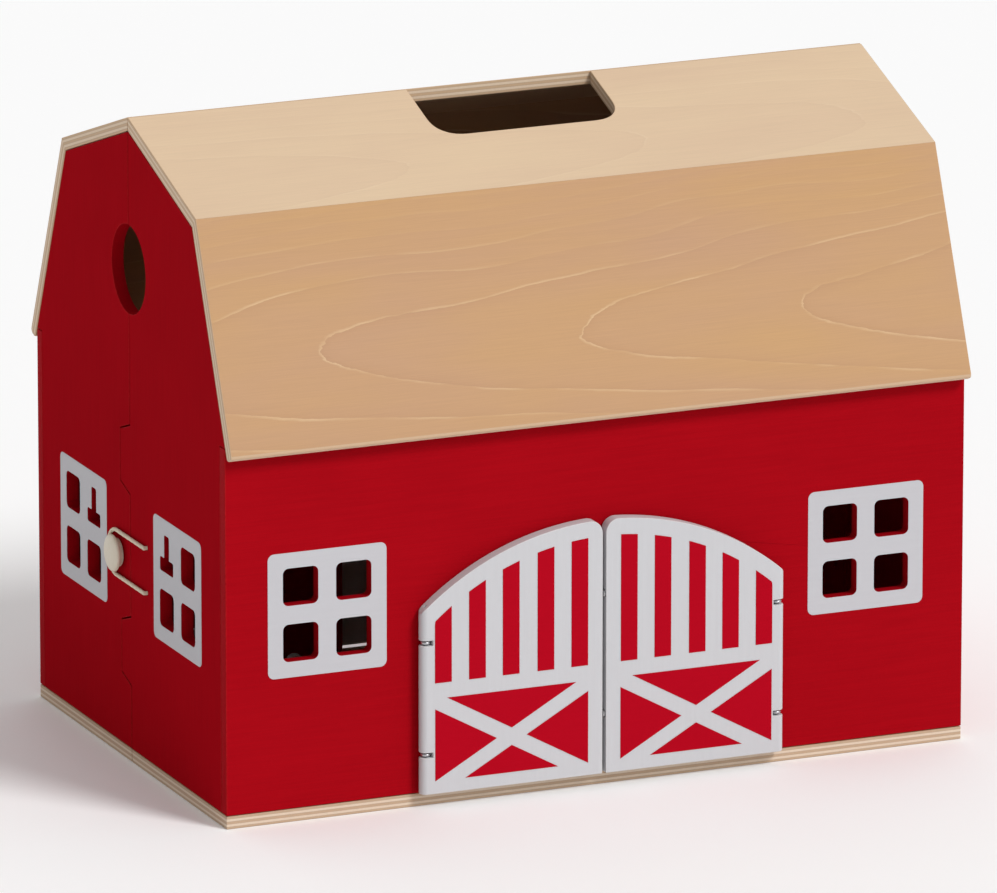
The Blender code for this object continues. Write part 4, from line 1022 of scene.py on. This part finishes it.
def two_ended(profile):
    """A fitting whose lower half mirrors the upper half that the profile gives."""
    return turned("fitting", profile + [(radius, -height) for radius, height in reversed(profile)])


def rounded_rod(radius, reach, ease):
    """A rod about the origin with a small flat round at each end."""
    near = ease * 0.3
    return two_ended([(0, reach), (radius - ease, reach), (radius - near, reach - near),
                      (radius, reach - ease)])


for door in DOORS:
    width, _, height = half_size(door + "_pin")
    placed(rounded_rod(width, height, WIRE_ROUND), door + "_wire", door + "_pin", zinc)
for level in LEVELS:
    node = f"hinge_{level}_pin"
    width, _, height = half_size(node)
    rim = height - HINGE_PIN_CAP
    pin = two_ended(dome(width, rim, HINGE_PIN_CAP, 15) + [(HINGE_PIN_RADIUS, rim)])
    placed(pin, f"hinge_{level}_headed_pin", node, zinc)
for side, word in SIDES:
    for number in PAIR:
        node = f"door_{word}_magnet_{number}"
        width, _, height = half_size(node)
        disc = rounded_rod(height, width, MAGNET_ROUND)
        placed(disc, f"magnet_{word}_{number}", node, nickel, facing(x=side, z=0))
print("pins and magnets turned")

# %% [markdown]
# ## Screw eyes
#
# Each door leaf hangs on two screw eyes: a ring of wire with a threaded shank that runs back into the
# wall. A ring is a torus, the shank is turned and laid down, and the two are joined into one skin.

# %% Screw eyes
EYE_RING_RADIUS = 1.6
EYE_WIRE_RADIUS = 0.7
EYE_REACH = (EYE_RING_RADIUS + EYE_WIRE_RADIUS) * MM
EYE_NECK_RADIUS = 0.6
EYE_NECK_END = -3.4
EYE_THREAD = (-3.6, 5.5, 0.52, 0.68)

eye = started("eye", bpy.ops.mesh.primitive_torus_add, major_radius=EYE_RING_RADIUS * MM,
              minor_radius=EYE_WIRE_RADIUS * MM, major_segments=40, minor_segments=16)
neck = [(0, -EYE_RING_RADIUS), (EYE_NECK_RADIUS, -EYE_RING_RADIUS), (EYE_NECK_RADIUS, EYE_NECK_END)]
shank = turned("shank", neck + threaded(*EYE_THREAD), 24)
shank.matrix_world = facing(y=-1, z=0)
carve(eye, [settled(shank)], "UNION")
for door in DOORS:
    at_rear = door.startswith("stable")
    for number in PAIR:
        node = f"{door}_eye_{number}"
        low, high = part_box(node)
        x, _, z = middle_of(node)
        seat = (x, high.y - EYE_REACH if at_rear else low.y + EYE_REACH, z)
        turn = Matrix.Rotation(radians(180 if at_rear else 0), 4, "Z")
        copied(eye, f"{door}_screw_eye_{number}", node, zinc, turn, seat)
bpy.data.objects.remove(eye)
print("screw eyes joined")

# %% [markdown]
# ## Hinge plates
#
# The plates and knuckles of the two butt hinges already have their shape. They get the same treatment
# as the boards, with edges broken by only a tenth of a millimetre, as on stamped steel.

# %% Hinge plates
PLATE_EASE = 0.12 * MM
for level in LEVELS:
    for half in HALVES:
        eased(f"hinge_{level}_{half}_plate", f"butt_hinge_{level}_{half}", PLATE_EASE, zinc)
print("hinge plates eased")

# %% [markdown]
# ## The knob
#
# The knob is turned from one piece of beech and painted cream: a domed cap with a rounded rim, and a
# waist for the elastic. The wood is closed round the hole for its screw.

# %% Knob
GABLE_X = -180.0
RIM_FOOT = 2.7
RIM_TOP = 3.4
CAP_ROUNDNESS = 0.8
WAIST_RADIUS = 6.5
KNOB_BORE_RADIUS = 1.2
KNOB_BORE_END = 3.6
KNOB_FOOT = 0.3

cap = GABLE_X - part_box("closure_knob")[0].x / MM
knob_radius = half_size("closure_knob")[2]
profile = dome(knob_radius, RIM_TOP, cap - RIM_TOP, 6, 90, CAP_ROUNDNESS)
profile += [(knob_radius - 0.02, RIM_TOP - 0.1), (knob_radius, RIM_FOOT + 0.4),
            (knob_radius - 0.12, RIM_FOOT + 0.12), (knob_radius - 0.4, RIM_FOOT),
            (WAIST_RADIUS + 0.5, RIM_FOOT), (WAIST_RADIUS + 0.12, RIM_FOOT - 0.14),
            (WAIST_RADIUS, RIM_FOOT - 0.5), (WAIST_RADIUS, KNOB_FOOT + 0.3),
            (WAIST_RADIUS - 0.3, KNOB_FOOT), (KNOB_BORE_RADIUS, KNOB_FOOT),
            (KNOB_BORE_RADIUS, KNOB_BORE_END), (0, KNOB_BORE_END)]
seat = (GABLE_X * MM, *middle_of("closure_knob")[1:])
placed(turned("knob", profile, 72), "turned_knob", "closure_knob", cream_knob, facing(x=-1, z=0), seat)
print("knob turned, cap", round(cap, 2), "mm proud")

# %% [markdown]
# ## The elastic
#
# The elastic is a braided cord. Its skin is made from rings of points along its route, and every ring
# swells and shrinks in a crossing pattern, so that the braid is really there. Where the cord leaves its
# holes, its outer and its inner part end in half balls about the same point, so that it looks unbroken
# however far the loop is swung out.

# %% Elastic
CORD_RADIUS = 0.9
KNOT_CORD_RADIUS = 0.72
BRAID_ROUND = 28
BRAID_STEP = 0.22
BRAID_STRANDS = 4
BRAID_PITCH = 5.0
BRAID_DEPTH = 0.2
BALL_ANGLES = [radians(angle) for angle in (18, 36, 54, 72)]


def ring_stations(points):
    """Where the rings of a cord go: place, direction, side direction, way travelled and width."""
    spaced = [points[0]]
    for before, after in zip(points, points[1:]):
        steps = max(1, round((after - before).length / BRAID_STEP))
        spaced += [before.lerp(after, step / steps) for step in range(1, steps + 1)]
    stations = []
    side, travelled = None, 0.0
    for index, place in enumerate(spaced):
        ahead = (spaced[min(index + 1, len(spaced) - 1)] - spaced[max(index - 1, 0)]).normalized()
        side = side or ahead.orthogonal().normalized()
        side = (side - ahead * side.dot(ahead)).normalized()
        if index:
            travelled += (place - spaced[index - 1]).length
        stations.append((place, ahead, side, travelled, 1.0))
    return stations


def half_ball(station, reach):
    """Ever narrower rings beyond a cord's end; the reach is negative before its beginning."""
    place, ahead, side, travelled, _ = station
    return [(place + ahead * reach * sin(a), ahead, side, travelled, cos(a)) for a in BALL_ANGLES]


def braided(name, points, radius=CORD_RADIUS):
    """A braided cord through points in millimetres, closed by half balls at both ends."""
    stations = ring_stations(points)
    first, last = stations[0], stations[-1]
    rings = half_ball(first, -radius)[::-1] + stations + half_ball(last, radius)
    corners, faces = [first[0] - first[1] * radius], []
    for place, ahead, side, along, share in rings:
        other = ahead.cross(side)
        for number in range(BRAID_ROUND):
            turn = tau * number / BRAID_ROUND
            one = cos(BRAID_STRANDS * turn + tau * along / BRAID_PITCH)
            two = cos(BRAID_STRANDS * turn - tau * along / BRAID_PITCH)
            swell = 1 - BRAID_DEPTH * (0.5 - 0.5 * max(one, two))
            reach = radius * swell * share
            corners.append(place + side * (reach * cos(turn)) + other * (reach * sin(turn)))
    corners.append(last[0] + last[1] * radius)
    top = len(corners) - 1
    for number in range(BRAID_ROUND):
        beside = (number + 1) % BRAID_ROUND
        for here in range(1, top - BRAID_ROUND, BRAID_ROUND):
            above = here + BRAID_ROUND
            faces.append((here + number, here + beside, above + beside, above + number))
        faces.append((0, 1 + beside, 1 + number))
        faces.append((top, top - BRAID_ROUND + number, top - BRAID_ROUND + beside))
    mesh = bpy.data.meshes.new(name)
    mesh.from_pydata([corner * MM for corner in corners], [], faces)
    cord = added(name, mesh)
    edit(cord)
    face_outward()
    bpy.ops.object.shade_smooth()
    return cord


def curve(middle, radius, start, stop, across, steps):
    """Points on an upright arc about the middle, from one angle in degrees to another."""
    flat = arc_points((0, 0), radius, start, stop, steps)
    return [middle + across * x + ALONG_Z * z for x, z in flat]


HOLE = Vector((-181.2, -19.6, 95.0))
LOOP_MIDDLE = Vector((-181.2, 13.7, 95.0))
LOOP_RADIUS = 10.5
low_hole, high_hole = HOLE - ALONG_Z * LOOP_RADIUS, HOLE + ALONG_Z * LOOP_RADIUS
loop = braided("braided_loop", [low_hole, *curve(LOOP_MIDDLE, LOOP_RADIUS, -90, 90, ALONG_Y, 60), high_hole])
stands_for(loop, "elastic_loop", elastic_yarn)

KNOT_X = -171.5
BEND_X = -174.6
BEND_RADIUS = 1.8
KNOT_STEPS = 73
KNOT_SIZE = 0.52
KNOT_CROSSING = 1.6
KNOT_DEPTH = 0.42
ALONG_X = Vector((1, 0, 0))
low_bend = Vector((BEND_X, HOLE.y, low_hole.z + BEND_RADIUS))
high_bend = Vector((BEND_X, HOLE.y, high_hole.z - BEND_RADIUS))
ends = braided("ends", [low_hole, *curve(low_bend, BEND_RADIUS, -90, 0, ALONG_X, 10),
                        *curve(high_bend, BEND_RADIUS, 0, 90, ALONG_X, 10), high_hole])
knot_route = []
for step in range(KNOT_STEPS):
    t = tau * step / KNOT_STEPS
    knot_route.append(Vector((KNOT_X, HOLE.y, HOLE.z)) + Vector((
        -KNOT_DEPTH * sin(3 * t), KNOT_SIZE * (cos(t) - KNOT_CROSSING * cos(2 * t)),
        KNOT_SIZE * (sin(t) + KNOT_CROSSING * sin(2 * t)))))
ends = joined([ends, braided("knot", knot_route, KNOT_CORD_RADIUS)], "knotted_ends")
stands_for(ends, "elastic_ends", elastic_yarn)
print("elastic braided")

# %% [markdown]
# ## Floor and light
#
# The barn stands on a plain pale floor. One large soft sun from above, in front and to the right
# lights the front and the roof. A pale world, stronger behind and weaker on the left, fills the
# shadows. A colour comes out about as it was written.

# %% Stage
FLOOR_RADIUS = 25
FLOOR_PALE = 0.98
SUN_FROM = Vector((0.45, -0.75, 0.8))
SUN_STRENGTH = 1.9
SUN_WIDTH = radians(18)
ROOM_LIGHT = 0.565
LIGHT_BEHIND = 0.32
SHADE_LEFT = 0.27

floor = started("floor", bpy.ops.mesh.primitive_circle_add, vertices=96, radius=FLOOR_RADIUS,
                fill_type="NGON")
floor_finish = Finish(bpy.data.materials.new("floor_finish"))
floor_finish.set(Base_Color=(FLOOR_PALE, FLOOR_PALE, FLOOR_PALE, 1), Roughness=0.9)
floor.data.materials.append(floor_finish.owner)

sun_data = bpy.data.lights.new("window_light", "SUN")
sun_data.energy = SUN_STRENGTH
sun_data.angle = SUN_WIDTH
sun = added("window_light", sun_data)
sun.rotation_euler = SUN_FROM.to_track_quat("Z", "Y").to_euler()

room = Finish(bpy.data.worlds.new("pale_room"), "Background")
direction = room.node("TexCoord", output="Generated")
from_behind = room.along(direction, (0, 1, 0))
from_left = room.along(direction, (-1, 0, 0))
room.set(Color=(1, 1, 1, 1), Strength=ROOM_LIGHT + (from_behind > 0) * from_behind * LIGHT_BEHIND
         - (from_left > 0) * from_left * SHADE_LEFT)
bpy.context.scene.world = room.owner
print("lit by one sun and a pale room")
